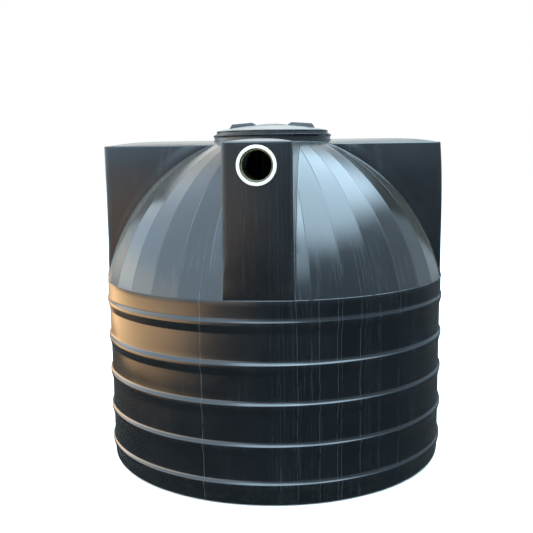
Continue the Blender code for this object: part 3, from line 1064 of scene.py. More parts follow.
@dataclass(frozen=True)
class Box:
    """A square box that rises through the dome, moulded in one with its top.

    flare moves the head of the face out, and swell the middle of it. bow lets the
    upright edges of the face fall back. lean is how far the sides come in over
    lean_depth under the top edge, as a pillow does. buried is how far the sides reach
    down past the dome. A change is the pair of levels or shares it runs between.
    """

    quarter: Quarter
    pipe_z: float | None = None
    flare: float = 0.0
    swell: float = 0.0
    bow: float = 0.0
    bow_start: float = 0.15
    lean: float = 0.0015
    lean_depth: float = 0.10
    lean_clearance: float = 0.01
    lean_change: float = 0.05
    warp_start: float = 0.25
    ripple: Ripple = Ripple(0.0014, 5, 8, 4, 2.2)
    dome: Dome = Dome()
    half_width: float = BOX_HALF_WIDTH
    face: float = BOX_FACE
    corner: float = 0.012
    least_corner: float = 0.002
    corner_sharp: float = 0.85
    corner_change: tuple[float, float] = (0.70, 0.80)
    edge: float = 0.004
    inner_edge: float = 0.001
    least_height: float = 0.004
    ledge_z: float = LEDGE_Z
    ledge_gap: float = 0.0003
    buried: float = 0.016
    buried_end: float = 0.07
    buried_change: float = 0.05
    top_z: float = BOX_TOP_Z
    side_gap: float = 0.0006
    crown: float = 0.016
    thickness: float = THICKNESS
    top_thickness: float = 0.005
    neck_radius: float = 0.2122
    bore: float = 0.058
    bore_margin: float = 0.064
    bore_cells: int = 10
    ring_cells: int = 8
    side_steps: int = 44
    corner_steps: int = 6
    rows_below: int = 40
    row_height: float = 0.008
    edge_steps: int = 5
    edge_wear: float = 0.5
    corner_wear: float = 0.25

    def outline(self, inset: float) -> tuple[Array, Array]:
        """Plan of the box, from the neck along one side, across the face and back.

        Args:
            inset: distance inside the outer face.

        Returns:
            Points (across, out) and the outward normals at them.
        """
        width, face = self.half_width - inset, self.face - inset
        corner = max(self.corner - inset, self.least_corner)
        start = math.sqrt(self.neck_radius ** 2 - width ** 2)
        spread = np.linspace(0, 1, self.side_steps, endpoint=False)
        out = start + (face - corner - start) * spread
        side = np.stack((np.full_like(out, width), out), axis=-1)
        turn = np.linspace(0, QUARTER, self.corner_steps, endpoint=False)
        normal = np.stack((np.cos(turn), np.sin(turn)), axis=-1)
        arc = np.array((width - corner, face - corner)) + corner * normal
        cells = self.face_cells()
        flat = np.linspace(width - corner, -(width - corner), cells + 1)
        front = np.stack((flat, np.full_like(flat, face)), axis=-1)
        half = np.vstack((side, arc))
        half_normal = np.vstack((np.tile((1.0, 0.0), (len(side), 1)), normal))
        mirror = np.array((-1.0, 1.0))
        points = np.vstack((half, front, half[::-1] * mirror))
        normals = np.vstack((half_normal, np.tile((0.0, 1.0), (len(front), 1)),
                             half_normal[::-1] * mirror))
        return points, normals

    def face_cells(self) -> int:
        """Cells across the flat of the face, so that the bore's patch fits on them."""
        return 2 * round((self.half_width - self.corner) / self.bore_margin * self.bore_cells)

    def levels(self) -> Array:
        """Row levels on the face, with an even patch round the bore.

        Returns:
            Heights from the ledge to the start of the rounded top edge.
        """
        head = self.top_z - self.edge
        centre = self.pipe_z if self.pipe_z is not None else head - self.bore_margin
        cell = (self.half_width - self.corner) / (self.face_cells() // 2)
        reach = cell * self.bore_cells
        low, high = centre - reach, min(centre + reach, head)
        below = np.linspace(self.ledge_z + self.ledge_gap, low, self.rows_below, endpoint=False)
        patch = np.linspace(low, high, 2 * self.bore_cells + 1)
        rows_above = max(0, round((head - high) / self.row_height))
        above = np.linspace(high, head, 1 + rows_above)[1:]
        return np.concatenate((below, patch, above))

    def foot(self, points: Array) -> Array:
        """Lowest level of the box at each point of its plan.

        Its sides go down a little past the dome, and its face down to the ledge.

        Args:
            points: plan points (across, out).

        Returns:
            Heights.
        """
        sunk = self.dome.height_at(np.hypot(points[:, 0], points[:, 1])) - self.buried
        to_face = ease((points[:, 1] - (self.face - self.buried_end)) / self.buried_change)
        floor = self.ledge_z + self.ledge_gap
        return np.maximum(floor, sunk * (1 - to_face) + floor * to_face)

    def side_head(self, out: Array, drop: float) -> Array:
        """Level of the top edge along a side, which follows the dome near the neck.

        Args:
            out: distance from the axis.
            drop: distance under the outer face.

        Returns:
            Heights.
        """
        beside = self.dome.height_at(np.hypot(self.half_width, out) / math.cos(self.dome.gore / 2))
        above = np.maximum(beside - self.top_z + self.side_gap, 0)
        return self.top_z + above - drop

    def warp(self, across: Array, out: Array, level: Array) -> Array:
        """How far the face stands out of true at a point.

        The flare grows with the fourth power of the height over the ledge. The swell
        is one half wave of the height. The bow grows with the square of the distance
        across and starts a little over the ledge. All fade from the face to the neck.

        Args:
            across: distance from the middle of the box.
            out: distance from the axis.
            level: height.

        Returns:
            The shift outwards.
        """
        share = np.clip((level - self.ledge_z) / (self.top_z - self.ledge_z), 0, 1)
        depth = ease((out - self.warp_start) / (self.face - self.warp_start))
        bent = self.flare * share ** 4 + self.swell * np.sin(math.pi * share ** 1.5)
        bent = bent - self.bow * (across / self.half_width) ** 2 * ease(share / self.bow_start)
        return (bent - self.ripple.at(across / self.half_width, level)) * depth

    def squeeze(self, across: Array, out: Array, level: Array) -> Array:
        """Share by which the box narrows at a point.

        It grows with the square of the height within the lean's depth, has the
        ripple added, and fades out down to the dome, where the box has to meet it.

        Args:
            across: distance from the middle of the box.
            out: distance from the axis.
            level: height.

        Returns:
            The share of the distance across that is taken off.
        """
        near_top = np.clip((level - self.top_z + self.lean_depth) / self.lean_depth, 0, 1) ** 2
        beside = self.dome.height_at(np.hypot(across, out))
        clear = ease((level - beside - self.lean_clearance) / self.lean_change)
        inward = self.lean * near_top + self.ripple.at(out / self.half_width, level)
        return inward * clear / self.half_width

    def top_level(self, across: Array, out: Array, drop: float) -> Array:
        """Height of the crowned top: edge level plus crown times two fades.

        The fades are 1 - (across / half width)^2.5, and 1 - share^6 from the neck to
        the face.

        Args:
            across: distance from the middle of the box.
            out: distance from the axis.
            drop: distance under the outer face.

        Returns:
            Heights.
        """
        start = np.sqrt(np.maximum(self.neck_radius ** 2 - across ** 2, 0))
        share = np.clip((out - start) / (self.face - self.edge - start), 0, 1)
        edge = np.clip(np.abs(across) / (self.half_width - self.edge), 0, 1)
        side = self.side_head(out, drop)
        rise = self.crown * (1 - edge ** 2.5) * (1 - share ** 6)
        return self.top_z - drop + (side - self.top_z + drop) * edge ** 3 + rise

    def patches(self) -> list[Patch]:
        """The walls and the top as grids, each with its inner face.

        Returns:
            Two patches that meet along the top edge.
        """
        outer_wall, outer_top = self.grids(0.0)
        inner_wall, inner_top = self.grids(self.thickness)
        kept = np.ones((outer_wall.shape[0] - 1, outer_wall.shape[1] - 1), bool)
        if self.pipe_z is not None:
            row, column = self.bore_cell()
            ring = self.ring_cells
            kept[row - ring:row + ring, column - ring:column + ring] = False
        wall_wear, top_wear = np.zeros(outer_wall.shape[:2]), np.zeros(outer_top.shape[:2])
        wall_wear[-self.edge_steps:] = top_wear[-1] = self.edge_wear
        top_wear[:, 0] = top_wear[:, -1] = self.edge_wear
        other_corner = self.side_steps + self.corner_steps + self.face_cells() + 1
        for start in (self.side_steps, other_corner):
            wall_wear[:, start:start + self.corner_steps] = self.corner_wear
        return [Patch(outer_wall, inner_wall, kept, wall_wear),
                Patch(outer_top, inner_top, None, top_wear)]

    def bore_cell(self) -> tuple[int, int]:
        """Row and column of the grid point in the middle of the bore."""
        return (self.rows_below + self.bore_cells,
                self.side_steps + self.corner_steps + self.face_cells() // 2)

    def opened(self, grid: Array) -> Array:
        """Draw the grid round the bore into rings.

        Square rings of grid points turn into circles towards the bore: a point on
        square ring q moves from its own place to the same share of a circle's turn,
        by how near q is to the ring at the bore's edge.

        Args:
            grid: points of the box's walls, shape (rows, columns, 3).

        Returns:
            The changed grid.
        """
        row, column = self.bore_cell()
        reach = self.bore_cells
        part = (slice(row - reach, row + reach + 1), slice(column - reach, column + reach + 1))
        down, along = np.mgrid[-reach:reach + 1, -reach:reach + 1].astype(float)
        ring = np.maximum(np.maximum(np.abs(down), np.abs(along)), 1e-9)
        on_side = np.abs(along) >= np.abs(down)
        fraction = np.where(on_side, down / ring, along / ring)
        swing = fraction * math.pi / 4
        cos = np.where(on_side, np.sign(along) * np.cos(swing), np.sin(swing))
        sin = np.where(on_side, np.sin(swing), np.sign(down) * np.cos(swing))
        share = np.clip((ring - self.ring_cells) / (reach - self.ring_cells), 0, 1)[..., None]
        square = grid[part]
        edge_x = (square[0, 0, 0] - square[0, -1, 0]) / 2
        edge_z = (square[-1, 0, 2] - square[0, 0, 2]) / 2
        outer_x, outer_z = -along / ring * edge_x, down / ring * edge_z
        depth = square[..., 1]
        circle = np.stack((-cos * self.bore, depth, self.pipe_z + sin * self.bore), axis=-1)
        frame_points = np.stack((outer_x, depth, square[reach, reach, 2] + outer_z), axis=-1)
        grid = grid.copy()
        grid[part] = circle * (1 - share) + frame_points * share
        return grid

    def sharpened(self, grid: Array) -> Array:
        """Make the upright corners sharper towards the ledge.

        Where a corner's radius shrinks by a share f, each of its points keeps 1 - f of
        its distance from the sharp corner, and the flats beside it stretch to match.

        Args:
            grid: points of the box's walls, shape (rows, columns, 3).

        Returns:
            The changed grid.
        """
        share = self.corner_sharp * ease((self.corner_change[1] - grid[..., 2])
                                         / (self.corner_change[1] - self.corner_change[0]))
        grid = grid.copy()
        for axis, edge in ((0, self.half_width), (1, self.face)):
            gap = np.abs(grid[..., axis])
            flat = edge - self.corner
            stretched = gap * (edge - (1 - share) * self.corner) / flat
            moved = np.where(gap > flat, edge - (1 - share) * (edge - gap), stretched)
            grid[..., axis] = np.copysign(moved, grid[..., axis])
        return grid

    def wall_grid(self, inset: float, drop: float) -> tuple[Array, Array]:
        """Points of the walls: the plan carried up to the edge's rounding and in over it.

        Args:
            inset: distance inside the outer face.
            drop: distance of the top under the outer face.

        Returns:
            The grid, with the face towards -Y, and its last row as (across, out, up).
        """
        edge = self.inner_edge if inset else self.edge
        plan, normal = self.outline(inset)
        head = self.side_head(plan[:, 1], drop) - edge
        foot = np.minimum(self.foot(plan), head - self.least_height)
        levels = self.levels()
        share = ((levels - levels[0]) / (levels[-1] - levels[0]))[:, None]
        upright = foot + (head - foot) * share
        turn = np.linspace(0, QUARTER, self.edge_steps + 1)[1:, None]
        inward = np.vstack((np.zeros((len(share), 1)), edge * (1 - np.cos(turn))))
        level = np.vstack((upright, head + edge * np.sin(turn)))
        across = plan[:, 0] - normal[:, 0] * inward
        out = plan[:, 1] - normal[:, 1] * inward
        wall = np.stack((across, -out, level), axis=-1)
        if not inset:
            wall = self.sharpened(wall)
        if self.pipe_z is not None:
            wall = self.opened(wall)
        return wall, np.stack((across[-1], out[-1], level[-1]), axis=-1)

    def top_grid(self, border: Array, drop: float) -> Array:
        """Points of the top, between three sides of the walls and the neck.

        It is a Coons patch: the sum of the two ruled surfaces between opposite sides,
        less the one through the four corners.

        Args:
            border: last row of the walls, as (across, out, up).
            drop: distance of the top under the outer face.

        Returns:
            The grid, with the face towards -Y.
        """
        plan, level = border[:, :2], border[:, 2]
        side = self.side_steps + self.corner_steps // 2
        face = slice(side, len(plan) - side)
        right, left, front = plan[:side + 1], plan[::-1][:side + 1], plan[face]
        spread = np.linspace(0, 1, len(front))
        near_x = right[0, 0] + (left[0, 0] - right[0, 0]) * spread
        reach = np.hypot(right[0, 0], right[0, 1])
        near = np.stack((near_x, np.sqrt(reach ** 2 - near_x ** 2)), axis=-1)
        up = np.linspace(0, 1, side + 1)[:, None, None]
        over = spread[None, :, None]
        ruled = near[None] * (1 - up) + front[None] * up
        ruled = ruled + right[:, None] * (1 - over) + left[:, None] * over
        corners = (right[0] * (1 - up) + right[-1] * up) * (1 - over)
        corners = corners + (left[0] * (1 - up) + left[-1] * up) * over
        top = ruled - corners
        height = self.top_level(top[..., 0], top[..., 1], drop)
        height[:, 0], height[:, -1] = level[:side + 1], level[::-1][:side + 1]
        height[-1] = level[face]
        return np.stack((top[..., 0], -top[..., 1], height), axis=-1)

    def grids(self, inset: float) -> tuple[Array, Array]:
        """Points of the walls and of the top for one face of the shell, out of true.

        Args:
            inset: distance inside the outer face.

        Returns:
            The two grids, with the face towards -Y.
        """
        drop = self.top_thickness if inset else 0.0
        wall, border = self.wall_grid(inset, drop)
        top = self.top_grid(border, drop)
        for grid in (wall, top):
            across, out, level = grid[..., 0], -grid[..., 1], grid[..., 2]
            shift = self.warp(across, out, level)
            narrower = self.squeeze(across, out, level)
            grid[..., 1] -= shift
            grid[..., 0] *= 1 - narrower
        return wall, top

    def build(self, finishes: Finishes) -> None:
        """Make the box as one piece.

        Args:
            finishes: the object's materials.
        """
        word = self.quarter.word
        nodes = tuple(f"{word}_box_{part}" for part in ("face", "left_side", "right_side", "top"))
        patches = self.patches()
        for patch in patches:
            patch.outer = turn_about_axis(patch.outer, self.quarter.angle)
            patch.inner = turn_about_axis(patch.inner, self.quarter.angle)
        place = Place(Body.TANK, Slot.SHELL, nodes)
        add_piece(f"{word}_box_shell", patches, place, finishes.shell)


@dataclass(frozen=True)
class Neck:
    """The manhole neck: plain wall, flare, lip and two small steps up to the rim.

    gutter is how far a step's tread falls inwards, and overhang how far its riser
    leans outwards.
    """

    radius: float = 0.213
    bore: float = 0.195
    foot_z: float = 1.110
    dome_z: float = CROWN_Z
    flare_z: float = 1.157
    lip_z: float = 1.163
    lip_height: float = 0.0025
    step: float = 0.0037
    gutter: float = 0.0008
    overhang: float = 0.0009
    top_z: float = 1.174
    flare: float = 0.0034
    rim: float = 0.205
    fillet: float = 0.0015
    facets: int = 360
    round_steps: int = 4
    spacing: float = 0.006

    def section(self) -> Array:
        """Closed section of the neck. The third value of a corner is its rounding.

        Returns:
            Points (radius, height).
        """
        lip = self.radius + self.flare
        middle = (lip + self.rim) / 2
        lip_top = self.lip_z + self.lip_height
        step_foot = lip_top - self.gutter
        step_top = step_foot + self.step
        corners = [
            (self.bore, self.foot_z, 0.002),
            (self.radius, self.foot_z, 0.001),
            (self.radius, self.dome_z - 0.004, 0.0),
            (self.radius + self.fillet, self.dome_z - 0.002, 0.0),
            (self.radius, self.dome_z + self.fillet, self.fillet),
            (self.radius, self.flare_z, 0.004),
            (lip, self.lip_z, 0.0010),
            (lip, lip_top, 0.0008),
            (middle - self.overhang, step_foot, 0.0005),
            (middle, step_top, 0.0006),
            (self.rim - self.overhang, step_top - self.gutter, 0.0005),
            (self.rim, self.top_z, 0.0008),
            (self.bore, self.top_z, 0.002),
        ]
        return closely_spaced(rounded(corners, self.round_steps), self.spacing)

    def build(self, finishes: Finishes) -> None:
        """Make the neck as one piece.

        Args:
            finishes: the object's materials.
        """
        place = Place(Body.TANK, Slot.SHELL, ("manhole_neck",))
        ring = carried_round(self.section(), self.facets)
        add_piece("neck_ring", [ring], place, finishes.shell)


@dataclass(frozen=True)
class Lid:
    """The screw lid: crowned cover, threaded skirt and two grips.

    The boss is the raised middle of the cover. A grip's own section runs from -1 to 1
    across and from 0 to 1 up, with grip_buried of grip_depth under the crown.
    """

    seat_z: float = 1.1743
    radius: float = 0.204
    undercut: float = 0.006
    rim_rise: float = 0.0035
    rim_height: float = 0.0025
    rim_round: float = 0.0015
    rim_drop: float = 0.0016
    rim_steps: int = 5
    chamfer: tuple[float, float] = (0.001, 0.0005)
    crown: float = 0.0215
    thickness: float = THICKNESS
    skirt_radius: float = 0.190
    skirt_thickness: float = 0.008
    skirt_depth: float = 0.042
    skirt_gap: float = 0.0003
    skirt_rows: int = 44
    boss_radius: float = 0.054
    boss_height: float = 0.0016
    boss_rise: float = 0.0040
    boss_edge: float = 0.0004
    boss_steps: int = 5
    facets: int = 360
    rings: int = 40
    grip_inner: float = 0.057
    grip_outer: float = 0.156
    grip_foot: float = 0.0155
    grip_top: float = 0.0130
    grip_end: float = 0.002
    grip_inner_slope: float = 0.015
    grip_outer_slope: float = 0.009
    grip_inner_z: float = 1.2113
    grip_outer_z: float = 1.2058
    grip_stations: int = 48
    grip_soft: float = 0.07
    grip_taper: float = 0.08
    grip_round: float = 0.16
    grip_foot_round: float = 0.02
    grip_round_steps: int = 5
    grip_buried: float = 0.4
    grip_depth: float = 0.001
    thread_height: float = 0.0022
    thread_pitch: float = 0.011
    thread_start: float = 0.010
    thread_end: float = 0.004
    thread_change: tuple[float, float] = (0.004, 0.003)
    tooth_slope: float = 6.0
    tooth_width: float = 1.6

    def crown_z(self, radius: Array) -> Array:
        """Height of the crown: a parabola over the rim.

        Args:
            radius: distance from the axis.

        Returns:
            Heights.
        """
        edge = self.seat_z + self.rim_rise + self.rim_height
        return edge + self.crown * (1 - (radius / self.radius) ** 2)

    def cover(self) -> Patch:
        """The crowned cover with a raised middle.

        The middle has a small upright step and a parabola of its own over it.

        Returns:
            A patch that is closed both ways.
        """
        hollow = self.skirt_radius - self.skirt_thickness
        across_edge = self.boss_radius + self.boss_edge * np.linspace(-0.5, 0.5, self.boss_steps)
        flat = np.linspace(0, self.radius - self.rim_round, self.rings)
        ring = np.sort(np.append(flat, across_edge))
        boss = self.boss_height * ease((self.boss_radius - ring) / self.boss_edge + 0.5)
        boss = boss + self.boss_rise * np.maximum(1 - (ring / self.boss_radius) ** 2, 0)
        upper = np.stack((ring, self.crown_z(ring) + boss), axis=-1)
        inner = np.linspace(hollow, 0, self.rings // 2)
        lower = np.stack((inner, self.crown_z(inner) - self.thickness), axis=-1)
        turn = np.linspace(QUARTER * 0.9, 0, self.rim_steps)[:, None]
        rim_z = self.seat_z + self.rim_rise
        centre = (self.radius - self.rim_round, rim_z + self.rim_height - self.rim_drop)
        edge = np.array(centre) + self.rim_round * np.hstack((np.cos(turn), np.sin(turn)))
        foot = np.array([(self.radius, rim_z),
                         (self.radius - self.chamfer[0], self.seat_z + self.chamfer[1]),
                         (self.radius - self.undercut, self.seat_z), (hollow, self.seat_z)])
        return carried_round(np.vstack((upper, edge, foot, lower)), self.facets)

    def skirt(self) -> Patch:
        """The skirt with its thread.

        The outer face of a round tube gets a ridge whose middle climbs with the
        azimuth, one pitch to a turn, and which fades out at both ends.

        Returns:
            A patch that is closed both ways.
        """
        azimuth = np.arange(self.facets)[None, :] * TAU / self.facets
        drop = np.linspace(self.skirt_depth, self.skirt_gap, self.skirt_rows)[:, None]
        phase = (drop / self.thread_pitch + azimuth / TAU) % 1.0
        tooth = np.clip(self.tooth_width - np.abs(phase - 0.5) * self.tooth_slope, 0, 1)
        fade = (ease((drop - self.thread_start) / self.thread_change[0])
                * ease((self.skirt_depth - self.thread_end - drop) / self.thread_change[1]))
        outer = self.skirt_radius + self.thread_height * tooth * fade
        inner = np.full_like(outer, self.skirt_radius - self.skirt_thickness)
        radius = np.vstack((outer, inner[::-1]))
        height = self.seat_z - np.vstack((drop, drop[::-1]))
        return Patch(round_points(radius, height, azimuth), closed_rows=True, closed_columns=True)

    def grip(self, sign: int) -> Patch:
        """One grip: a bar with a flat top, sloping ends and rounded shoulders.

        Its top is a straight line that falls outwards. Along the bar its rise is a
        share of that line's height over the crown: the least of two ramps and 1,
        rounded into each other. Across the bar the section is a rounded trapezium
        whose foot follows the crown.

        Args:
            sign: 1 for the grip towards +X, -1 for the other.

        Returns:
            A patch whose rows run along the bar and close at its ends.
        """
        radius = np.linspace(self.grip_inner, self.grip_outer, self.grip_stations)
        up = (radius - self.grip_inner) / self.grip_inner_slope
        down = (self.grip_outer - radius) / self.grip_outer_slope
        soft = self.grip_soft
        ramps = -soft * np.log(np.exp(-up / soft) + np.exp(-down / soft) + math.exp(-1 / soft))
        share = np.clip(ramps, 0, 1) / np.clip(ramps, 0, 1).max()
        first = self.grip_inner + self.grip_inner_slope
        last = self.grip_outer - self.grip_outer_slope
        fall = (self.grip_outer_z - self.grip_inner_z) * (radius - first) / (last - first)
        crown = self.crown_z(radius)
        rise = self.grip_end + (self.grip_inner_z + fall - crown - self.grip_end) * share
        shoulder = self.grip_top / self.grip_foot
        section = rounded([(-1.0, -self.grip_buried, 0.0), (1.0, -self.grip_buried, 0.0),
                           (1.0, 0.0, self.grip_foot_round), (shoulder, 1.0, self.grip_round),
                           (-shoulder, 1.0, self.grip_round), (-1.0, 0.0, self.grip_foot_round)],
                          self.grip_round_steps)
        across = section[None, :, 0] * self.grip_foot
        lift = section[None, :, 1]
        base = self.crown_z(np.hypot(radius[:, None], across))
        head = (crown + rise)[:, None]
        level = base + np.where(lift > 0, lift * (head - base), lift * self.grip_depth)
        taper = 1 - self.grip_taper * (1 - share[:, None])
        along = np.broadcast_to(sign * radius[:, None], level.shape)
        points = np.stack((along, across * taper, level), axis=-1)
        ends = [np.broadcast_to(points[row].mean(axis=0), points[row].shape)[None]
                for row in (0, -1)]
        return Patch(np.concatenate((ends[0], points, ends[1])), closed_columns=True)

    def build(self, finishes: Finishes) -> None:
        """Make the lid's pieces.

        Args:
            finishes: the object's materials.
        """
        for name, patch, slot, node, finish in (
            ("lid_crown", self.cover(), Slot.LID, "lid_cover", finishes.lid),
            ("lid_thread_skirt", self.skirt(), Slot.LID, "lid_skirt", finishes.lid),
            ("lid_grip_bar_right", self.grip(1), Slot.GRIP, "lid_grip_right", finishes.grip),
            ("lid_grip_bar_left", self.grip(-1), Slot.GRIP, "lid_grip_left", finishes.grip),
        ):
            add_piece(name, [patch], Place(Body.LID, slot, (node,)), finish)


@dataclass(frozen=True)
class PipeFitting:
    """A white socket in a box's face, with its seal and the pipe behind it.

    level is the height of its axis, and proud how far it stands out of the face. The
    mouth of each piece carries a wear share down to rim_depth, which the olive pipe's
    finish turns into a painted highlight round its lip.
    """

    quarter: Quarter
    word: str
    level: float
    face: float = BOX_FACE
    radius: float = 0.0608
    wall: float = 0.0103
    proud: float = 0.006
    length: float = 0.070
    seal_wall: float = 0.0032
    seal_depth: float = 0.008
    seal_length: float = 0.006
    pipe_wall: float = 0.0045
    pipe_length: float = 0.150
    gap: float = 0.0003
    rim_depth: float = 0.004
    facets: int = 144
    round_steps: int = 4
    spacing: float = 0.006

    def tube(self, corners: list[tuple[float, float, float]]) -> Patch:
        """Carry a closed section round the pipe's axis.

        A point of the section at radius r and distance o out of the face turns round
        the axis: (r sin t, -(face + o), level + r cos t).

        Args:
            corners: radius, distance out and rounding of each corner.

        Returns:
            A patch that is closed both ways, turned to the box's side.
        """
        section = closely_spaced(rounded(corners, self.round_steps), self.spacing)
        turn = np.arange(self.facets)[None, :] * TAU / self.facets
        radius, out = section[:, :1], section[:, 1:]
        depth = np.broadcast_to(-(self.face + out), (len(out), self.facets))
        points = np.stack((radius * np.sin(turn), depth, self.level + radius * np.cos(turn)),
                          axis=-1)
        # Share at each mouth; the olive pipe's finish paints it as a highlight on the lip.
        mouth = np.tile(np.clip(1 - (out.max() - out) / self.rim_depth, 0, 1), (1, self.facets))
        return Patch(turn_about_axis(points, self.quarter.angle), wear=mouth, closed_rows=True,
                     closed_columns=True)

    def build(self, finishes: Finishes) -> None:
        """Make the fitting's three pieces.

        Args:
            finishes: the object's materials.
        """
        bore = self.radius - self.wall
        back = self.proud - self.length
        socket = [(bore, self.proud, 0.0012), (self.radius, self.proud, 0.0022),
                  (self.radius, back, 0.001), (bore, back, 0.001)]
        fitted = bore - self.gap
        front = self.proud - self.seal_depth
        rear = front - self.seal_length
        lip = fitted - self.seal_wall
        seal = [(lip, front - 0.001, 0.0010), (fitted - 0.0008, front, 0.0005),
                (fitted, front - 0.0010, 0.0004), (fitted, rear, 0.0005), (lip, rear, 0.0008)]
        pipe_front = rear - self.gap
        pipe_back = pipe_front - self.pipe_length
        inner = fitted - self.pipe_wall
        pipe = [(inner, pipe_front, 0.0016), (fitted, pipe_front, 0.0012),
                (fitted, pipe_back, 0.0008), (inner, pipe_back, 0.0008)]
        for corners, part, piece, slot, finish in (
            (socket, "socket", "socket_ring", Slot.SOCKET, finishes.socket),
            (seal, "seal", "seal_ring", Slot.SEAL, finishes.seal),
            (pipe, "pipe", "pipe_tube", Slot.PIPE, finishes.pipe),
        ):
            place = Place(Body.TANK, slot, (f"{self.word}_{part}",))
            add_piece(f"{self.word}_{piece}", [self.tube(corners)], place, finish)


# The studio


def direction(bearing: float, climb: float) -> Vector:
    """Unit vector towards a bearing from the front and a climb over the level."""
    return Vector((math.sin(bearing) * math.cos(climb), -math.cos(bearing) * math.cos(climb),
                   math.sin(climb)))


@dataclass(frozen=True)
class Softbox:
    """A flat lamp of one colour whose light fades softly towards its edges.

    Its place is given from the middle of the tank: a bearing from the front towards
    +X and a climb over the level, both in degrees, and a distance. glow is how bright
    its face looks, and soft is how far in from its ends and its long edges it fades.
    """

    name: str
    bearing: float
    climb: float
    distance: float
    width: float
    height: float
    colour: str
    glow: float
    soft: tuple[float, float]

    def build(self, aim: Vector) -> None:
        """Hang the lamp and turn it to what it lights.

        Args:
            aim: the point that it faces.
        """
        lamp = bpy.data.lights.new(self.name, "AREA")
        lamp.shape = "RECTANGLE"
        lamp.size, lamp.size_y = self.width, self.height
        lamp.color = linear(self.colour)[:3]
        lamp.energy = self.glow * math.pi * self.width * self.height
        lamp.use_nodes = True
        tree = lamp.node_tree
        spot = add_node(tree, "NewGeometry").outputs["Parametric"]
        split = add_node(tree, "SeparateXYZ", {0: spot})
        fades = []
        for side, share in (("X", self.soft[0] / self.width), ("Y", self.soft[1] / self.height)):
            off = add_node(tree, "Math", {0: split.outputs[side], 1: 0.5}, operation="SUBTRACT")
            out = add_node(tree, "Math", {0: off}, operation="ABSOLUTE")
            fades.append(add_node(tree, "MapRange", {"Value": out, "From Min": 0.5,
                                                     "From Max": 0.5 - share},
                                  interpolation_type="SMOOTHSTEP"))
        fade = add_node(tree, "Math", {0: fades[0], 1: fades[1]}, operation="MULTIPLY")
        tree.links.new(fade.outputs[0], tree.nodes["Emission"].inputs["Strength"])
        holder = bpy.data.objects.new(self.name, lamp)
        bpy.context.scene.collection.objects.link(holder)
        away = direction(math.radians(self.bearing), math.radians(self.climb))
        holder.location = aim + away * self.distance
        holder.rotation_euler = away.to_track_quat("Z", "Y").to_euler()
        holder.visible_camera = False


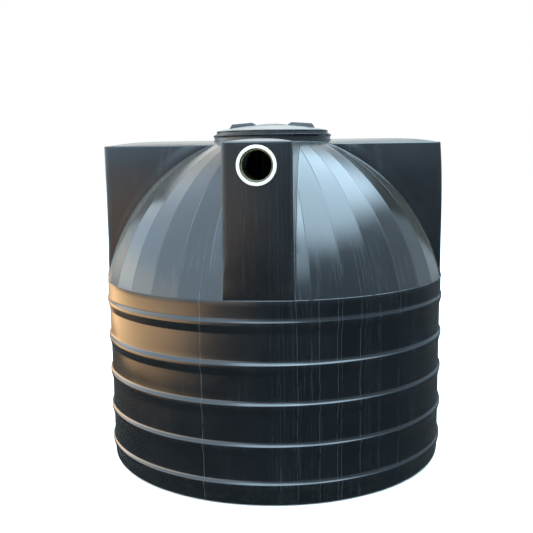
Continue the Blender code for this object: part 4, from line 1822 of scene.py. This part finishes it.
@dataclass(frozen=True)
class Studio:
    """A plain pale floor, soft light and the camera at the photograph's angle.

    The room is dim low down, grey above that and pale towards one side, with soft
    changes. The camera sees plain white behind the floor.
    """

    floor_colour: str = "#f6f2ea"
    floor_grime: str = "#ece8e0"
    floor_size: float = 60.0
    middle: tuple[float, float, float] = (0.0, 0.0, 0.6)
    colour: str = "#cfe9ff"
    low_glow: float = 0.08
    open_glow: float = 0.85
    side_glow: float = 3.0
    low_change: tuple[float, float] = (-0.13, 0.03)
    side_change: tuple[float, float] = (0.40, 0.78)
    side_bearing: float = math.radians(-70)
    side_climb: float = math.radians(27)
    softboxes: tuple[Softbox, ...] = (
        Softbox("softbox_cool_top", 88, 65, 4.5, 8.6, 5.0, "#caeaff", 11.5, (2.4, 1.5)),
        Softbox("softbox_cool_front", 0, 50, 4.5, 3.8, 4.6, "#caeaff", 8.0, (1.0, 0.7)),
        Softbox("softbox_warm_low", -92, 8, 4.2, 8.0, 1.8, "#ffd98a", 1.4, (2.0, 0.8)),
        Softbox("softbox_warm_left", -84, -11, 1.75, 5.6, 0.55, "#ffcf95", 5.2, (2.7, 0.15)),
        Softbox("softbox_warm_middle", -48, -9, 1.9, 3.0, 0.6, "#ffd9ad", 1.1, (1.5, 0.2)),
        Softbox("softbox_warm_behind", -140, -9, 2.2, 2.6, 0.7, "#ffc98a", 0.8, (1.0, 0.2)),
        Softbox("softbox_warm_front", -22, -1, 5.5, 3.8, 1.3, "#ffc68e", 1.4, (1.0, 0.4)),
        Softbox("softbox_white_rear", -155, 40, 4.5, 7.5, 4.4, "#fff1de", 1.5, (2.2, 1.6)),
    )
    place: tuple[float, float, float] = (0.2397, -2.982, 1.0984)
    pan: float = math.radians(0.534)
    pitch: float = math.radians(8.02)
    roll: float = math.radians(-0.797)
    lens_mm: float = 54.15
    sensor_mm: float = 36.0

    def room(self) -> None:
        """Make the world: two shades by height, a pale side, and white for the camera."""
        made = bpy.data.worlds.new("plain_room")
        made.use_nodes = True
        bpy.context.scene.world = made
        tree = made.node_tree
        towards = add_node(tree, "TexCoord").outputs["Generated"]
        height = add_node(tree, "SeparateXYZ", {0: towards}).outputs["Z"]
        pale_side = direction(self.side_bearing, self.side_climb)
        facing = add_node(tree, "VectorMath", {0: towards, 1: pale_side}, operation="DOT_PRODUCT")
        side = add_node(tree, "MapRange", {
            "Value": facing.outputs["Value"], "From Min": self.side_change[0],
            "From Max": self.side_change[1], "To Min": self.open_glow,
            "To Max": self.open_glow + self.side_glow}, interpolation_type="SMOOTHSTEP")
        above = add_node(tree, "MapRange", {
            "Value": height, "From Min": self.low_change[0], "From Max": self.low_change[1]},
            interpolation_type="SMOOTHSTEP")
        glow = add_node(tree, "Math", {0: side, 1: above, 2: self.low_glow},
                        operation="MULTIPLY_ADD")
        room = tree.nodes["Background"]
        room.inputs["Color"].default_value = linear(self.colour)
        tree.links.new(glow.outputs[0], room.inputs["Strength"])
        paper = add_node(tree, "Background", {"Color": linear("#ffffff"), "Strength": 1.0})
        seen = add_node(tree, "LightPath").outputs["Is Camera Ray"]
        shown = add_node(tree, "MixShader", {0: seen, 1: room, 2: paper})
        tree.links.new(shown.outputs[0], tree.nodes["World Output"].inputs["Surface"])

    def camera(self) -> None:
        """Set up the camera.

        It looks at the axis of the tank, turned a little to its left, down by the
        pitch, and rolled.
        """
        data = bpy.data.cameras.new("camera")
        data.lens = self.lens_mm
        data.sensor_width = self.sensor_mm
        data.sensor_fit = "HORIZONTAL"
        holder = bpy.data.objects.new("camera", data)
        bpy.context.scene.collection.objects.link(holder)
        bearing = math.atan2(-self.place[1], -self.place[0]) + self.pan
        ahead = Vector((math.cos(bearing) * math.cos(self.pitch),
                        math.sin(bearing) * math.cos(self.pitch), -math.sin(self.pitch)))
        level = ahead.cross(Vector((0, 0, 1))).normalized()
        upright = level.cross(ahead)
        right = level * math.cos(self.roll) + upright * math.sin(self.roll)
        up = upright * math.cos(self.roll) - level * math.sin(self.roll)
        turn = Matrix((right, up, -ahead)).transposed().to_4x4()
        holder.matrix_world = Matrix.Translation(self.place) @ turn
        bpy.context.scene.camera = holder

    def floor(self) -> None:
        """Lay the floor, which the tank stands on and doesn't mirror."""
        half = self.floor_size / 2
        mesh = bpy.data.meshes.new("floor")
        corners = [(-half, -half, 0), (half, -half, 0), (half, half, 0), (-half, half, 0)]
        mesh.from_pydata(corners, [], [(0, 1, 2, 3)])
        paint = Smooth("paint_rolled_matt_floor", self.floor_colour, self.floor_grime,
                       roughness=0.85, cloud_mm=400.0, grain_mm=3.0)
        mesh.materials.append(paint.material())
        holder = bpy.data.objects.new("floor", mesh)
        bpy.context.scene.collection.objects.link(holder)
        holder.visible_glossy = False

    def build(self) -> None:
        """Set the whole studio up."""
        self.room()
        for softbox in self.softboxes:
            softbox.build(Vector(self.middle))
        self.floor()
        self.camera()
        bpy.context.scene.view_settings.view_transform = "Standard"


def main() -> None:
    """Build every sub-assembly in order, then the studio."""
    logging.basicConfig(level=logging.INFO, format="%(name)s: %(message)s")
    finishes = Finishes.made()
    Wall().build(finishes)
    Dome().build(finishes)
    for box in (
        Box(Quarter.FRONT, INLET_Z, bow=0.002, top_z=1.135, crown=0.011),
        Box(Quarter.RIGHT, flare=-0.004, swell=0.004, lean=0.004),
        Box(Quarter.REAR, OUTLET_Z),
        Box(Quarter.LEFT, flare=0.003, lean=0.004),
    ):
        box.build(finishes)
    Neck().build(finishes)
    for fitting in (PipeFitting(Quarter.FRONT, "inlet", INLET_Z),
                    PipeFitting(Quarter.REAR, "outlet", OUTLET_Z)):
        fitting.build(finishes)
    Lid().build(finishes)
    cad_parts["tank_floor"].material_slots[0].material = finishes.shell
    Studio().build()


if __name__ == "__main__":
    main()
